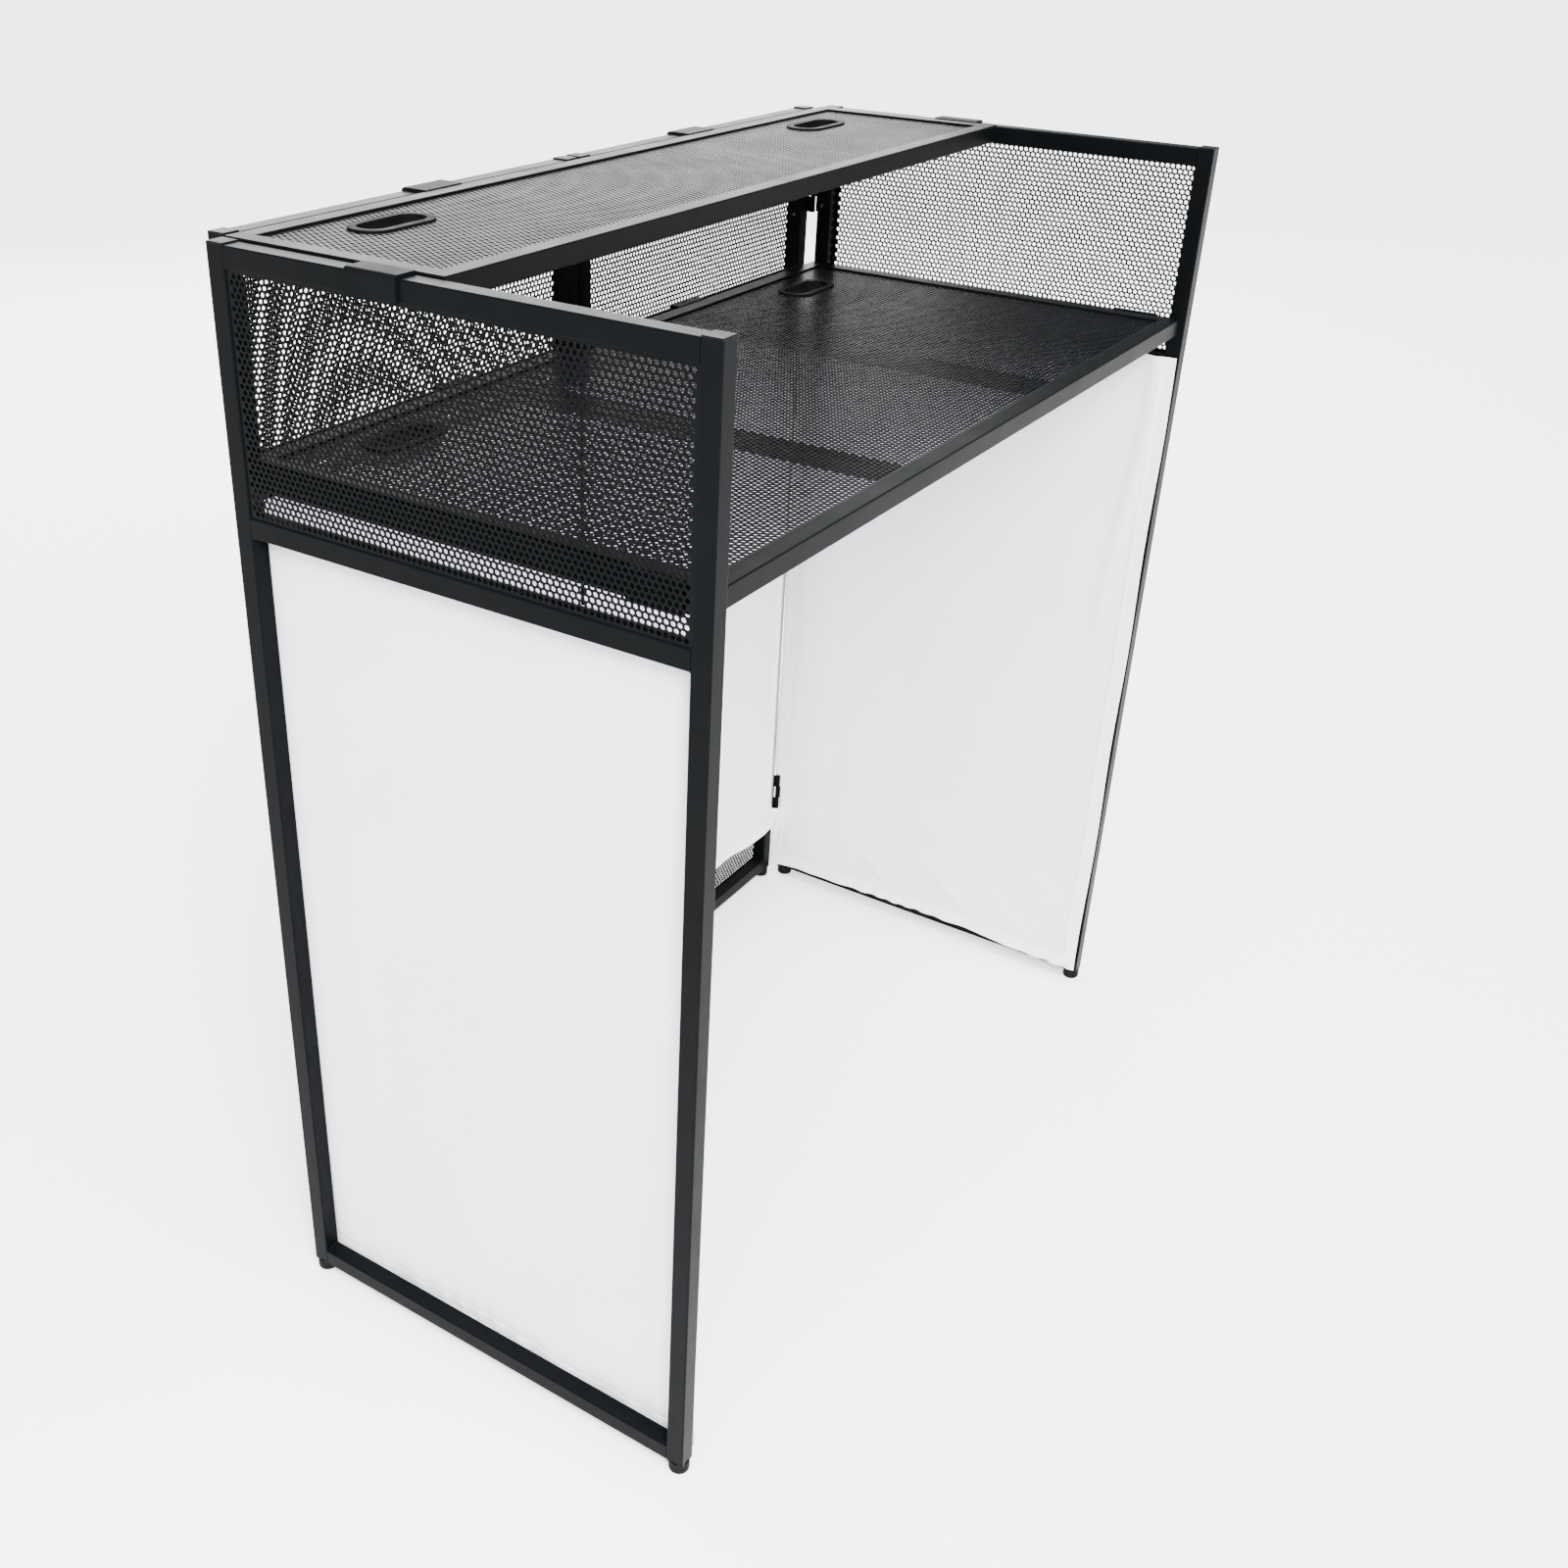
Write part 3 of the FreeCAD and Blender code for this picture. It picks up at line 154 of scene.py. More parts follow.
def new_tree(name, sockets):
    """Geometry tree with a geometry way through and further named inputs."""
    tree = bpy.data.node_groups.new(name, "GeometryNodeTree")
    tree.interface.new_socket("Geometry", in_out="INPUT", socket_type="NodeSocketGeometry")
    tree.interface.new_socket("Geometry", in_out="OUTPUT", socket_type="NodeSocketGeometry")
    for label, kind in sockets:
        tree.interface.new_socket(label, in_out="INPUT", socket_type=kind)
    return tree, add_node(tree, "NodeGroupInput").outputs


def close_tree(tree, geometry, material):
    """End of a tree: real mesh, one material, and out."""
    real = add_node(tree, "GeometryNodeRealizeInstances", {"Geometry": geometry})
    coated = add_node(tree, "GeometryNodeSetMaterial", {"Geometry": real.outputs[0], "Material": material})
    add_node(tree, "NodeGroupOutput", {"Geometry": coated.outputs[0]})


def grow(item, tree, values):
    """Run a tree on an object and keep the result as its plain mesh."""
    modifier = item.modifiers.new(tree.name, "NODES")
    modifier.node_group = tree
    for socket in tree.interface.items_tree:
        if socket.in_out == "INPUT" and socket.name in values:
            modifier[socket.identifier] = values[socket.name]
    bpy.context.view_layer.update()
    evaluated = item.evaluated_get(bpy.context.evaluated_depsgraph_get())
    mesh = bpy.data.meshes.new_from_object(evaluated)
    item.modifiers.remove(modifier)
    item.data = mesh


def edge_mesh(name, lines):
    """Loose edges from start and end points."""
    points = [point for line in lines for point in line]
    mesh = bpy.data.meshes.new(name)
    mesh.from_pydata(points, [(i, i + 1) for i in range(0, len(points), 2)], [])
    return mesh


weld_tree, weld_in = new_tree(
    "weld_bead",
    [("Ripple", "NodeSocketFloat"), ("Bead Radius", "NodeSocketFloat"), ("Coat", "NodeSocketMaterial")],
)
seam = add_node(weld_tree, "GeometryNodeMeshToCurve", {"Mesh": weld_in["Geometry"]})
steps = add_node(
    weld_tree,
    "GeometryNodeResampleCurve",
    {"Curve": seam.outputs[0], "Length": weld_in["Ripple"]},
    mode="LENGTH",
)
drop = add_node(
    weld_tree, "GeometryNodeMeshIcoSphere", {"Radius": weld_in["Bead Radius"], "Subdivisions": 2}
)
unevenness = add_node(
    weld_tree, "FunctionNodeRandomValue", {"Min": 0.75, "Max": 1.1, "Seed": 4}, data_type="FLOAT"
)
ripples = add_node(
    weld_tree,
    "GeometryNodeInstanceOnPoints",
    {"Points": steps.outputs[0], "Instance": drop.outputs[0], "Scale": unevenness.outputs["Value"]},
)
close_tree(weld_tree, ripples.outputs[0], weld_in["Coat"])


def weld(name, lines, body):
    """Weld beads along straight seams, on one body."""
    item = new_object(name, edge_mesh(name, lines))
    grow(item, weld_tree, {"Ripple": RIPPLE, "Bead Radius": BEAD_RADIUS, "Coat": tube_coat})
    item.data.shade_smooth()
    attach(item, body)


# Levels of the rails, with True for a seam along the top of the rail and False for one under it.
RAIL_SEAMS = (
    ("top", (False,)),
    ("middle", (True, False)),
    ("lower", (True, False)),
    ("bottom", (True,)),
)
panel_seams = []
for side in ("left", "right"):
    post_low, post_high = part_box(f"{side}_panel_front_post")
    rear_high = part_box(f"{side}_panel_rear_post")[1]
    x0 = post_low[0] + SEAM_INSET
    x1 = post_high[0] - SEAM_INSET
    for level, tops in RAIL_SEAMS:
        if level == "lower":
            continue
        low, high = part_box(f"{side}_panel_{level}_rail")
        for upper in tops:
            z = high[2] + SEAM_OFFSET if upper else low[2] - SEAM_OFFSET
            for y in (post_low[1] - SEAM_OFFSET, rear_high[1] + SEAM_OFFSET):
                panel_seams.append(((x0, y, z), (x1, y, z)))
    for level, tops in RAIL_SEAMS:
        low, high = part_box(f"front_{side}_{level}_rail")
        y0 = low[1] + SEAM_INSET
        y1 = high[1] - SEAM_INSET
        for upper in tops:
            z = high[2] + SEAM_OFFSET if upper else low[2] - SEAM_OFFSET
            for x in (low[0] + SEAM_OFFSET, high[0] - SEAM_OFFSET):
                panel_seams.append(((x, y0, z), (x, y1, z)))
weld("panel_weld_beads", panel_seams, "frame")


# Ledge bars: flat steel bars welded between the posts, flush with the inner faces, for the table's hooks to
# hang on. They were coated with the panels, a little thicker on their sharp edges.
plate_coat = powder_coat(
    "satin_powder_coat_on_plate", "#050607", "#0a0b0c", smooth=0.42, dull=0.5, specular=0.018
)
finish_nodes(plate_coat, "ledge_bars")


# Perforated sheets of the panels: 1.2 mm steel with 5 mm round holes at 6.5 mm centres in staggered rows,
# punched flat, cut to the openings, welded in and powder coated with the tubes.
HOLE_PITCH = 0.0065
HOLE_DIAMETER = 0.005
ROW_PITCH = HOLE_PITCH * math.sqrt(3) / 2
SHEET_THICKNESS = 0.0012
HOLE_SIDES = 10
LEAST_MARGIN = 0.0015
RIM_COVER = 0.0035
NO_PORT_REACH = -1.0

sheet_coat = powder_coat(
    "satin_powder_coat_on_punched_sheet", "#040506", "#08090a", smooth=0.3, dull=0.36, specular=0.03
)


def punched_cell():
    """One hole with the brick of sheet round it: front, back and wall of the hole."""
    corners = [(sx * HOLE_PITCH / 2, sy * ROW_PITCH / 2) for sx, sy in ((-1, -1), (1, -1), (1, 1), (-1, 1))]
    turns = [-math.pi + (i + 0.5) * 2 * math.pi / HOLE_SIDES for i in range(HOLE_SIDES)]
    ring = [(HOLE_DIAMETER / 2 * math.cos(a), HOLE_DIAMETER / 2 * math.sin(a)) for a in turns]
    steps_round = sorted(
        [(math.atan2(y, x), "corner", i) for i, (x, y) in enumerate(corners)]
        + [(a, "ring", i) for i, a in enumerate(turns)]
    )
    bm = bmesh.new()
    rims = []
    for half in (1, -1):
        w = half * SHEET_THICKNESS / 2
        outer = [bm.verts.new((x, y, w)) for x, y in corners]
        inner = [bm.verts.new((x, y, w)) for x, y in ring]
        rims.append(inner)
        at_corner = len(corners) - 1
        at_ring = HOLE_SIDES - 1
        for _, kind, i in steps_round:
            if kind == "corner":
                triangle = (outer[at_corner], outer[i], inner[at_ring])
                at_corner = i
            else:
                triangle = (outer[at_corner], inner[i], inner[at_ring])
                at_ring = i
            bm.faces.new(triangle if half == 1 else triangle[::-1])
    front, back = rims
    for i in range(HOLE_SIDES):
        j = (i + 1) % HOLE_SIDES
        bm.faces.new((front[i], front[j], back[j], back[i]))
    mesh = bpy.data.meshes.new("punched_cell")
    bm.to_mesh(mesh)
    bm.free()
    return new_object("punched_cell", mesh)


punch_tree, punch_in = new_tree(
    "perforated_sheet",
    [
        ("Cell", "NodeSocketObject"),
        ("Columns", "NodeSocketInt"),
        ("Row Length", "NodeSocketFloat"),
        ("Even Rows", "NodeSocketInt"),
        ("Even Height", "NodeSocketFloat"),
        ("Even Middle", "NodeSocketVector"),
        ("Odd Rows", "NodeSocketInt"),
        ("Odd Height", "NodeSocketFloat"),
        ("Odd Middle", "NodeSocketVector"),
        ("Port Lines", "NodeSocketObject"),
        ("Port Reach", "NodeSocketFloat"),
        ("Location", "NodeSocketVector"),
        ("Rotation", "NodeSocketRotation"),
        ("Coat", "NodeSocketMaterial"),
    ],
)
all_rows = add_node(punch_tree, "GeometryNodeJoinGeometry")
for stagger in ("Even", "Odd"):
    row_grid = add_node(
        punch_tree,
        "GeometryNodeMeshGrid",
        {
            "Size X": punch_in["Row Length"],
            "Size Y": punch_in[f"{stagger} Height"],
            "Vertices X": punch_in["Columns"],
            "Vertices Y": punch_in[f"{stagger} Rows"],
        },
    )
    row_set = add_node(
        punch_tree,
        "GeometryNodeTransform",
        {"Geometry": row_grid.outputs["Mesh"], "Translation": punch_in[f"{stagger} Middle"]},
    )
    punch_tree.links.new(row_set.outputs["Geometry"], all_rows.inputs["Geometry"])
port_lines = add_node(punch_tree, "GeometryNodeObjectInfo", {"Object": punch_in["Port Lines"]})
to_port = add_node(
    punch_tree, "GeometryNodeProximity", {0: port_lines.outputs["Geometry"]}, target_element="EDGES"
)
under_rim = add_node(
    punch_tree,
    "FunctionNodeCompare",
    {"A": to_port.outputs["Distance"], "B": punch_in["Port Reach"]},
    data_type="FLOAT",
    operation="LESS_THAN",
)
hole_places = add_node(
    punch_tree,
    "GeometryNodeDeleteGeometry",
    {"Geometry": all_rows.outputs["Geometry"], "Selection": under_rim.outputs["Result"]},
    domain="POINT",
)
cell_shape = add_node(punch_tree, "GeometryNodeObjectInfo", {"Object": punch_in["Cell"]})
cells = add_node(
    punch_tree,
    "GeometryNodeInstanceOnPoints",
    {"Points": hole_places.outputs["Geometry"], "Instance": cell_shape.outputs["Geometry"]},
)
whole_sheet = add_node(punch_tree, "GeometryNodeJoinGeometry", {"Geometry": cells.outputs["Instances"]})
punch_tree.links.new(punch_in["Geometry"], whole_sheet.inputs["Geometry"])
set_in = add_node(
    punch_tree,
    "GeometryNodeTransform",
    {
        "Geometry": whole_sheet.outputs["Geometry"],
        "Translation": punch_in["Location"],
        "Rotation": punch_in["Rotation"],
    },
)
close_tree(punch_tree, set_in.outputs["Geometry"], punch_in["Coat"])


def plain_margins(name, half_u, half_v, field_u, field_v, rows):
    """Unpunched border of a sheet and its four cut edges."""
    strips = [
        (-half_u, half_u, -half_v, -field_v),
        (-half_u, half_u, field_v, half_v),
        (-half_u, -field_u, -field_v, field_v),
        (field_u, half_u, -field_v, field_v),
    ]
    for row in range(rows):
        v0 = -field_v + row * ROW_PITCH
        end = field_u if row % 2 == 0 else HOLE_PITCH / 2 - field_u
        strips.append((end - HOLE_PITCH / 2, end, v0, v0 + ROW_PITCH))
    bm = bmesh.new()
    w = SHEET_THICKNESS / 2
    for u0, u1, v0, v1 in strips:
        loop = ((u0, v0), (u1, v0), (u1, v1), (u0, v1))
        bm.faces.new([bm.verts.new((u, v, w)) for u, v in loop])
        bm.faces.new([bm.verts.new((u, v, -w)) for u, v in reversed(loop)])
    outline = [(-half_u, -half_v), (half_u, -half_v), (half_u, half_v), (-half_u, half_v)]
    for start, end in zip(outline, outline[1:] + outline[:1]):
        edge = [(*start, -w), (*end, -w), (*end, w), (*start, w)]
        bm.faces.new([bm.verts.new(point) for point in edge])
    mesh = bpy.data.meshes.new(name)
    bm.to_mesh(mesh)
    bm.free()
    return mesh


def perforated_sheet(node, body, facing, parts=1, ports=()):
    """Punched sheet in place of a plain one.

    Facing says which way it stands, parts how many meshes it is shared out over, and ports which rims
    cover it.
    """
    low, high = [Vector(corner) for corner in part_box(node)]
    centre = (low + high) / 2
    extent = high - low
    width, height, turn = {
        "up": (extent.x, extent.y, (0, 0, 0)),
        "front": (extent.x, extent.z, (math.pi / 2, 0, 0)),
        "side": (extent.y, extent.z, (math.pi / 2, 0, math.pi / 2)),
    }[facing]
    columns = int((width - 2 * LEAST_MARGIN - HOLE_PITCH / 2) / HOLE_PITCH)
    rows = int((height - 2 * LEAST_MARGIN) / ROW_PITCH)
    field_u = columns * HOLE_PITCH / 2 + HOLE_PITCH / 4
    field_v = rows * ROW_PITCH / 2
    even_rows = (rows + 1) // 2
    odd_rows = rows // 2
    rim_lines = []
    reach = NO_PORT_REACH
    for port in ports:
        rim_low, rim_high = [Vector(corner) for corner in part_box(port)]
        middle = (rim_low + rim_high) / 2 - centre
        half_width = (rim_high.y - rim_low.y) / 2
        half_run = (rim_high.x - rim_low.x) / 2 - half_width
        rim_lines.append(((middle.x - half_run, middle.y, 0), (middle.x + half_run, middle.y, 0)))
        reach = half_width - RIM_COVER
    rims = new_object("rim_lines", edge_mesh("rim_lines", rim_lines))
    cell = punched_cell()
    margins = plain_margins(node, width / 2, height / 2, field_u, field_v, rows)
    cuts = [round(columns * i / parts) for i in range(parts + 1)]
    for i, (first, last) in enumerate(zip(cuts, cuts[1:])):
        middle_u = (first + last - columns) / 2 * HOLE_PITCH
        even_v = -field_v + (even_rows - 0.5) * ROW_PITCH
        odd_v = -field_v + (odd_rows + 0.5) * ROW_PITCH
        name = f"punched_{node}" if parts == 1 else f"punched_{node}_{i + 1}"
        item = new_object(name, margins if i == 0 else bpy.data.meshes.new(name))
        grow(
            item,
            punch_tree,
            {
                "Cell": cell,
                "Columns": last - first,
                "Row Length": (last - first - 1) * HOLE_PITCH,
                "Even Rows": even_rows,
                "Even Height": (even_rows - 1) * 2 * ROW_PITCH,
                "Even Middle": (middle_u - HOLE_PITCH / 4, even_v, 0.0),
                "Odd Rows": odd_rows,
                "Odd Height": (odd_rows - 1) * 2 * ROW_PITCH,
                "Odd Middle": (middle_u + HOLE_PITCH / 4, odd_v, 0.0),
                "Port Lines": rims,
                "Port Reach": reach,
                "Location": centre,
                "Rotation": turn,
                "Coat": sheet_coat,
            },
        )
        if i == 0:
            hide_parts(node)
        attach(item, body)
    for template in (cell, rims):
        bpy.data.objects.remove(template)


for side in ("left", "right"):
    perforated_sheet(f"{side}_panel_sheet", "frame", "side")
    perforated_sheet(f"front_{side}_upper_sheet", "frame", "front")
    perforated_sheet(f"front_{side}_kick_sheet", "frame", "front")


# Post caps and foot glides: black plastic plugs pressed into the ends of the posts, the caps of polyethylene
# and the glides of a rubbery compound that scuffs.
WEAR_SIZE = 0.018
WEAR_SPREAD = 0.06


# Moulded plastic: an even black with the fine spark grain of its mould, about 0.3 mm across and drawn
# coarser so that it shows, and a sheen that wears unevenly.
def moulded(name, dark, light, rough, grain, specular):
    material, tree = new_material(name)
    place = add_node(tree, "ShaderNodeTexCoord").outputs["Object"]
    spark = add_node(tree, "ShaderNodeTexNoise", {"Vector": place, "Scale": 1 / grain, "Detail": 2.0})
    wear = add_node(tree, "ShaderNodeTexNoise", {"Vector": place, "Scale": 1 / WEAR_SIZE, "Detail": 3.0})
    shade = add_node(
        tree,
        "ShaderNodeMix",
        {"Factor": wear.outputs["Fac"], "A": linear(dark), "B": linear(light)},
        data_type="RGBA",
    )
    gloss = add_node(
        tree,
        "ShaderNodeMapRange",
        {
            "Value": wear.outputs["Fac"],
            "From Min": NOISE_LOW,
            "From Max": NOISE_HIGH,
            "To Min": rough - WEAR_SPREAD,
            "To Max": rough + WEAR_SPREAD,
        },
    )
    skin = add_node(
        tree, "ShaderNodeBump", {"Strength": 0.2, "Distance": 0.0002, "Height": spark.outputs["Fac"]}
    )
    shader = add_node(
        tree,
        "ShaderNodeBsdfPrincipled",
        {
            "Base Color": shade.outputs["Result"],
            "Roughness": gloss.outputs["Result"],
            "Normal": skin.outputs["Normal"],
            "Specular IOR Level": specular,
        },
    )
    add_node(tree, "ShaderNodeOutputMaterial", {"Surface": shader.outputs["BSDF"]})
    return material


cap_plastic = moulded(
    "moulded_polyethylene_cap", "#08080a", "#0e0e10", rough=0.42, grain=0.0012, specular=0.04
)
glide_rubber = moulded("moulded_rubber_glide", "#090909", "#111110", rough=0.66, grain=0.0015, specular=0.04)
finish_nodes(cap_plastic, "post_caps")
finish_nodes(glide_rubber, "foot_glides")


# Hinges: pressed steel leaves with rolled knuckles on plain pins, coated with the panels and screwed to the
# end faces of the posts. Dome heads of the blackened screws show on the posts beside the corner hinges.
finish_nodes(
    plate_coat, "hinge_leaves_on_side_panels", "hinge_leaves_on_front_panels", "hinge_leaves_in_the_middle"
)


# Bare or blackened steel: a cool metal whose drawn lines or small spots catch the light unevenly.
# Both are about 0.5 mm across and are drawn three or four times as wide.
def bright_steel(name, dark, light, smooth, dull, spot):
    material, tree = new_material(name)
    place = add_node(tree, "ShaderNodeTexCoord").outputs["Object"]
    spots = add_node(tree, "ShaderNodeTexNoise", {"Vector": place, "Scale": 1 / spot, "Detail": 2.0})
    shade = add_node(
        tree,
        "ShaderNodeMix",
        {"Factor": spots.outputs["Fac"], "A": linear(dark), "B": linear(light)},
        data_type="RGBA",
    )
    gloss = add_node(
        tree,
        "ShaderNodeMapRange",
        {
            "Value": spots.outputs["Fac"],
            "From Min": NOISE_LOW,
            "From Max": NOISE_HIGH,
            "To Min": smooth,
            "To Max": dull,
        },
    )
    shader = add_node(
        tree,
        "ShaderNodeBsdfPrincipled",
        {"Base Color": shade.outputs["Result"], "Roughness": gloss.outputs["Result"], "Metallic": 1.0},
    )
    add_node(tree, "ShaderNodeOutputMaterial", {"Surface": shader.outputs["BSDF"]})
    return material


pin_steel = bright_steel("drawn_steel_pin", "#8d8d8f", "#a9a9ab", smooth=0.25, dull=0.4, spot=0.002)
screw_steel = bright_steel(
    "blackened_steel_screw", "#2c2c2e", "#505054", smooth=0.28, dull=0.4, spot=0.0015
)
finish_nodes(pin_steel, "hinge_pins")

SCREW_RADIUS = 0.0026
SCREW_RISE = 0.0016
SCREW_SIDES = 12
SCREW_PROFILE = ((1.0, 0.0), (0.97, 0.35), (0.75, 0.78), (0.42, 1.0))
RECESS_DEPTH = 0.55


def screw_head():
    """Dome head with a recess in its middle, seat on Z = 0."""
    bm = bmesh.new()
    rings = []
    for reach, rise in SCREW_PROFILE:
        ring = []
        for i in range(SCREW_SIDES):
            turn = 2 * math.pi * i / SCREW_SIDES
            x = SCREW_RADIUS * reach * math.cos(turn)
            y = SCREW_RADIUS * reach * math.sin(turn)
            ring.append(bm.verts.new((x, y, SCREW_RISE * rise)))
        rings.append(ring)
    for lower, upper in zip(rings, rings[1:]):
        for i in range(SCREW_SIDES):
            j = (i + 1) % SCREW_SIDES
            bm.faces.new((lower[i], lower[j], upper[j], upper[i]))
    pit = bm.verts.new((0, 0, SCREW_RISE * (1 - RECESS_DEPTH)))
    for i in range(SCREW_SIDES):
        bm.faces.new((rings[-1][i], rings[-1][(i + 1) % SCREW_SIDES], pit))
    mesh = bpy.data.meshes.new("screw_head")
    bm.to_mesh(mesh)
    bm.free()
    return new_object("screw_head", mesh)


screw_tree, screw_in = new_tree("screws", [("Head", "NodeSocketObject"), ("Plating", "NodeSocketMaterial")])
screw_axis = add_node(
    screw_tree, "GeometryNodeInputNamedAttribute", {"Name": "axis"}, data_type="FLOAT_VECTOR"
)
screw_turn = add_node(
    screw_tree, "FunctionNodeAlignRotationToVector", {"Vector": screw_axis.outputs["Attribute"]}, axis="Z"
)
head_shape = add_node(screw_tree, "GeometryNodeObjectInfo", {"Object": screw_in["Head"]})
heads = add_node(
    screw_tree,
    "GeometryNodeInstanceOnPoints",
    {
        "Points": screw_in["Geometry"],
        "Instance": head_shape.outputs["Geometry"],
        "Rotation": screw_turn.outputs["Rotation"],
    },
)
close_tree(screw_tree, heads.outputs["Instances"], screw_in["Plating"])

hinge_low, hinge_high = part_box("hinge_leaves_on_front_panels")
HINGE_HEIGHT = 0.06
SCREW_HEIGHTS = (-0.002, 0.05)
SIDE_SCREW_SHIFT = 0.003
SIDE_SCREW_LIFT = 0.01
screw_points = []
screw_axes = []
for side, sign in (("left", -1), ("right", 1)):
    side_low, side_high = [Vector(corner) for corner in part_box(f"{side}_panel_front_post")]
    front_low, front_high = [Vector(corner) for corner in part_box(f"front_{side}_outer_post")]
    side_middle = (side_low + side_high) / 2
    front_middle = (front_low + front_high) / 2
    side_inner = side_low.x if sign > 0 else side_high.x
    front_inner = front_low.x if sign > 0 else front_high.x
    for hinge_bottom in (hinge_high[2] - HINGE_HEIGHT, hinge_low[2]):
        for rise in SCREW_HEIGHTS:
            z = hinge_bottom + rise
            screw_points.append((front_inner, front_middle.y, z))
            screw_axes.append((-sign, 0, 0))
            screw_points.append((side_inner, side_middle.y + SIDE_SCREW_SHIFT, z + SIDE_SCREW_LIFT))
            screw_axes.append((-sign, 0, 0))
screw_mesh = bpy.data.meshes.new("hinge_screws")
screw_mesh.from_pydata(screw_points, [], [])
screw_facing = screw_mesh.attributes.new("axis", "FLOAT_VECTOR", "POINT")
for point, direction in zip(screw_facing.data, screw_axes):
    point.vector = direction
hinge_screws = new_object("hinge_screws", screw_mesh)
dome_head = screw_head()
grow(hinge_screws, screw_tree, {"Head": dome_head, "Plating": screw_steel})
bpy.data.objects.remove(dome_head)
hinge_screws.data.shade_smooth()
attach(hinge_screws, "frame")


# Scrim tape: hook-and-loop tape of woven nylon, glued along the inner faces of the tubes, loop side out. The
# tape is white but is painted mid grey, as painted shade for the narrow corner crevice between the scrims.
# Its pile is about 0.5 mm and is drawn three times as coarse.
TAPE_WIDTH = 0.012
TAPE_THICKNESS = 0.0008
TAPE_EDGE = 0.00035
PILE_SIZE = 0.0016

loop_tape, tape_tree = new_material("woven_nylon_loop_tape")
tape_place = add_node(tape_tree, "ShaderNodeTexCoord").outputs["Object"]
pile = add_node(tape_tree, "ShaderNodeTexVoronoi", {"Vector": tape_place, "Scale": 1 / PILE_SIZE})
# Painted shade: the white tape is coloured mid grey to stand for the shade in the corner crevice between the
# scrims; the pile varies it at random.
pile_with_painted_shade = add_node(
    tape_tree,
    "ShaderNodeMix",
    {"Factor": pile.outputs["Distance"], "A": linear("#7c7c7f"), "B": linear("#666669")},
    data_type="RGBA",
)
pile_bump = add_node(
    tape_tree, "ShaderNodeBump", {"Strength": 0.6, "Distance": 0.0006, "Height": pile.outputs["Distance"]}
)
tape_shader = add_node(
    tape_tree,
    "ShaderNodeBsdfPrincipled",
    {
        "Base Color": pile_with_painted_shade.outputs["Result"],
        "Normal": pile_bump.outputs["Normal"],
        "Roughness": 0.95,
        "Sheen Weight": 0.3,
    },
)
add_node(tape_tree, "ShaderNodeOutputMaterial", {"Surface": tape_shader.outputs["BSDF"]})


def tape_strip(bm, low, high):
    """Thin strip with rounded edges between two corners."""
    strip = bmesh.ops.create_cube(bm, size=1.0)["verts"]
    for vertex in strip:
        vertex.co = [low[k] + (vertex.co[k] + 0.5) * (high[k] - low[k]) for k in range(3)]
    edges = list({edge for vertex in strip for edge in vertex.link_edges})
    bmesh.ops.bevel(bm, geom=edges, offset=TAPE_EDGE, segments=2, profile=0.5, affect="EDGES")


HALF_TAPE = TAPE_WIDTH / 2
tape_bm = bmesh.new()
for side, sign in (("left", -1), ("right", 1)):
    low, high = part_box(f"{side}_panel_middle_rail")
    face = low[0] if sign > 0 else high[0]
    x0, x1 = sorted((face, face - sign * TAPE_THICKNESS))
    z = (low[2] + high[2]) / 2
    tape_strip(tape_bm, (x0, low[1], z - HALF_TAPE), (x1, high[1], z + HALF_TAPE))
    tape_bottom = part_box(f"{side}_panel_bottom_rail")[1][2]
    for end in ("front", "rear"):
        post_low, post_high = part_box(f"{side}_panel_{end}_post")
        y = (post_low[1] + post_high[1]) / 2
        tape_strip(tape_bm, (x0, y - HALF_TAPE, tape_bottom), (x1, y + HALF_TAPE, low[2]))
    low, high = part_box(f"front_{side}_middle_rail")
    y0, y1 = low[1] - TAPE_THICKNESS, low[1]
    tape_strip(tape_bm, (low[0], y0, z - HALF_TAPE), (high[0], y1, z + HALF_TAPE))
    tape_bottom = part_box(f"front_{side}_lower_rail")[1][2]
    for end in ("inner", "outer"):
        post_low, post_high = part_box(f"front_{side}_{end}_post")
        x = (post_low[0] + post_high[0]) / 2
        tape_strip(tape_bm, (x - HALF_TAPE, y0, tape_bottom), (x + HALF_TAPE, y1, low[2]))
tape_mesh = bpy.data.meshes.new("scrim_tape_strips")
tape_bm.to_mesh(tape_mesh)
tape_bm.free()
tape_mesh.materials.append(loop_tape)
tape_strips = new_object("scrim_tape_strips", tape_mesh)
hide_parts("scrim_tape")
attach(tape_strips, "frame")


# Side scrims: white polyester stretch knit, hemmed all round with one row of stitches and pressed onto the
# tape of a side panel. They hang flat, with slack over the lower hem and at the loose front lower corner.
HEM = 0.018
HEM_RISE = 0.0010
HEM_BLEND = 0.0006
STITCH_DIP = 0.0007
STITCH_INSET = 0.0018
STITCH_WIDTH = 0.0010
CLOTH_THICKNESS = 0.0006
CLOTH_STEP = 0.006

# Polyester stretch knit: a bright matt white with a fine ribbed face that lets light through from behind,
# whiter where the hem doubles it. Its wales are about 0.7 mm apart and are drawn 2 mm apart to show.
WALE = 0.002
SOIL_SIZE = 0.12
WAVE_SCALE = 2 * math.pi / 20 / WALE
knit, knit_tree = new_material("polyester_stretch_knit")
knit_uv = add_node(knit_tree, "ShaderNodeTexCoord").outputs["UV"]
wale_wave = {"Vector": knit_uv, "Scale": WAVE_SCALE, "Distortion": 1.2, "Detail": 1.0}
wales = add_node(knit_tree, "ShaderNodeTexWave", wale_wave, bands_direction="X")
courses = add_node(knit_tree, "ShaderNodeTexWave", wale_wave, bands_direction="Y")
loops = add_node(
    knit_tree, "ShaderNodeMath", {0: wales.outputs["Fac"], 1: courses.outputs["Fac"]}, operation="ADD"
)
soil = add_node(knit_tree, "ShaderNodeTexNoise", {"Vector": knit_uv, "Scale": 1 / SOIL_SIZE, "Detail": 3.0})
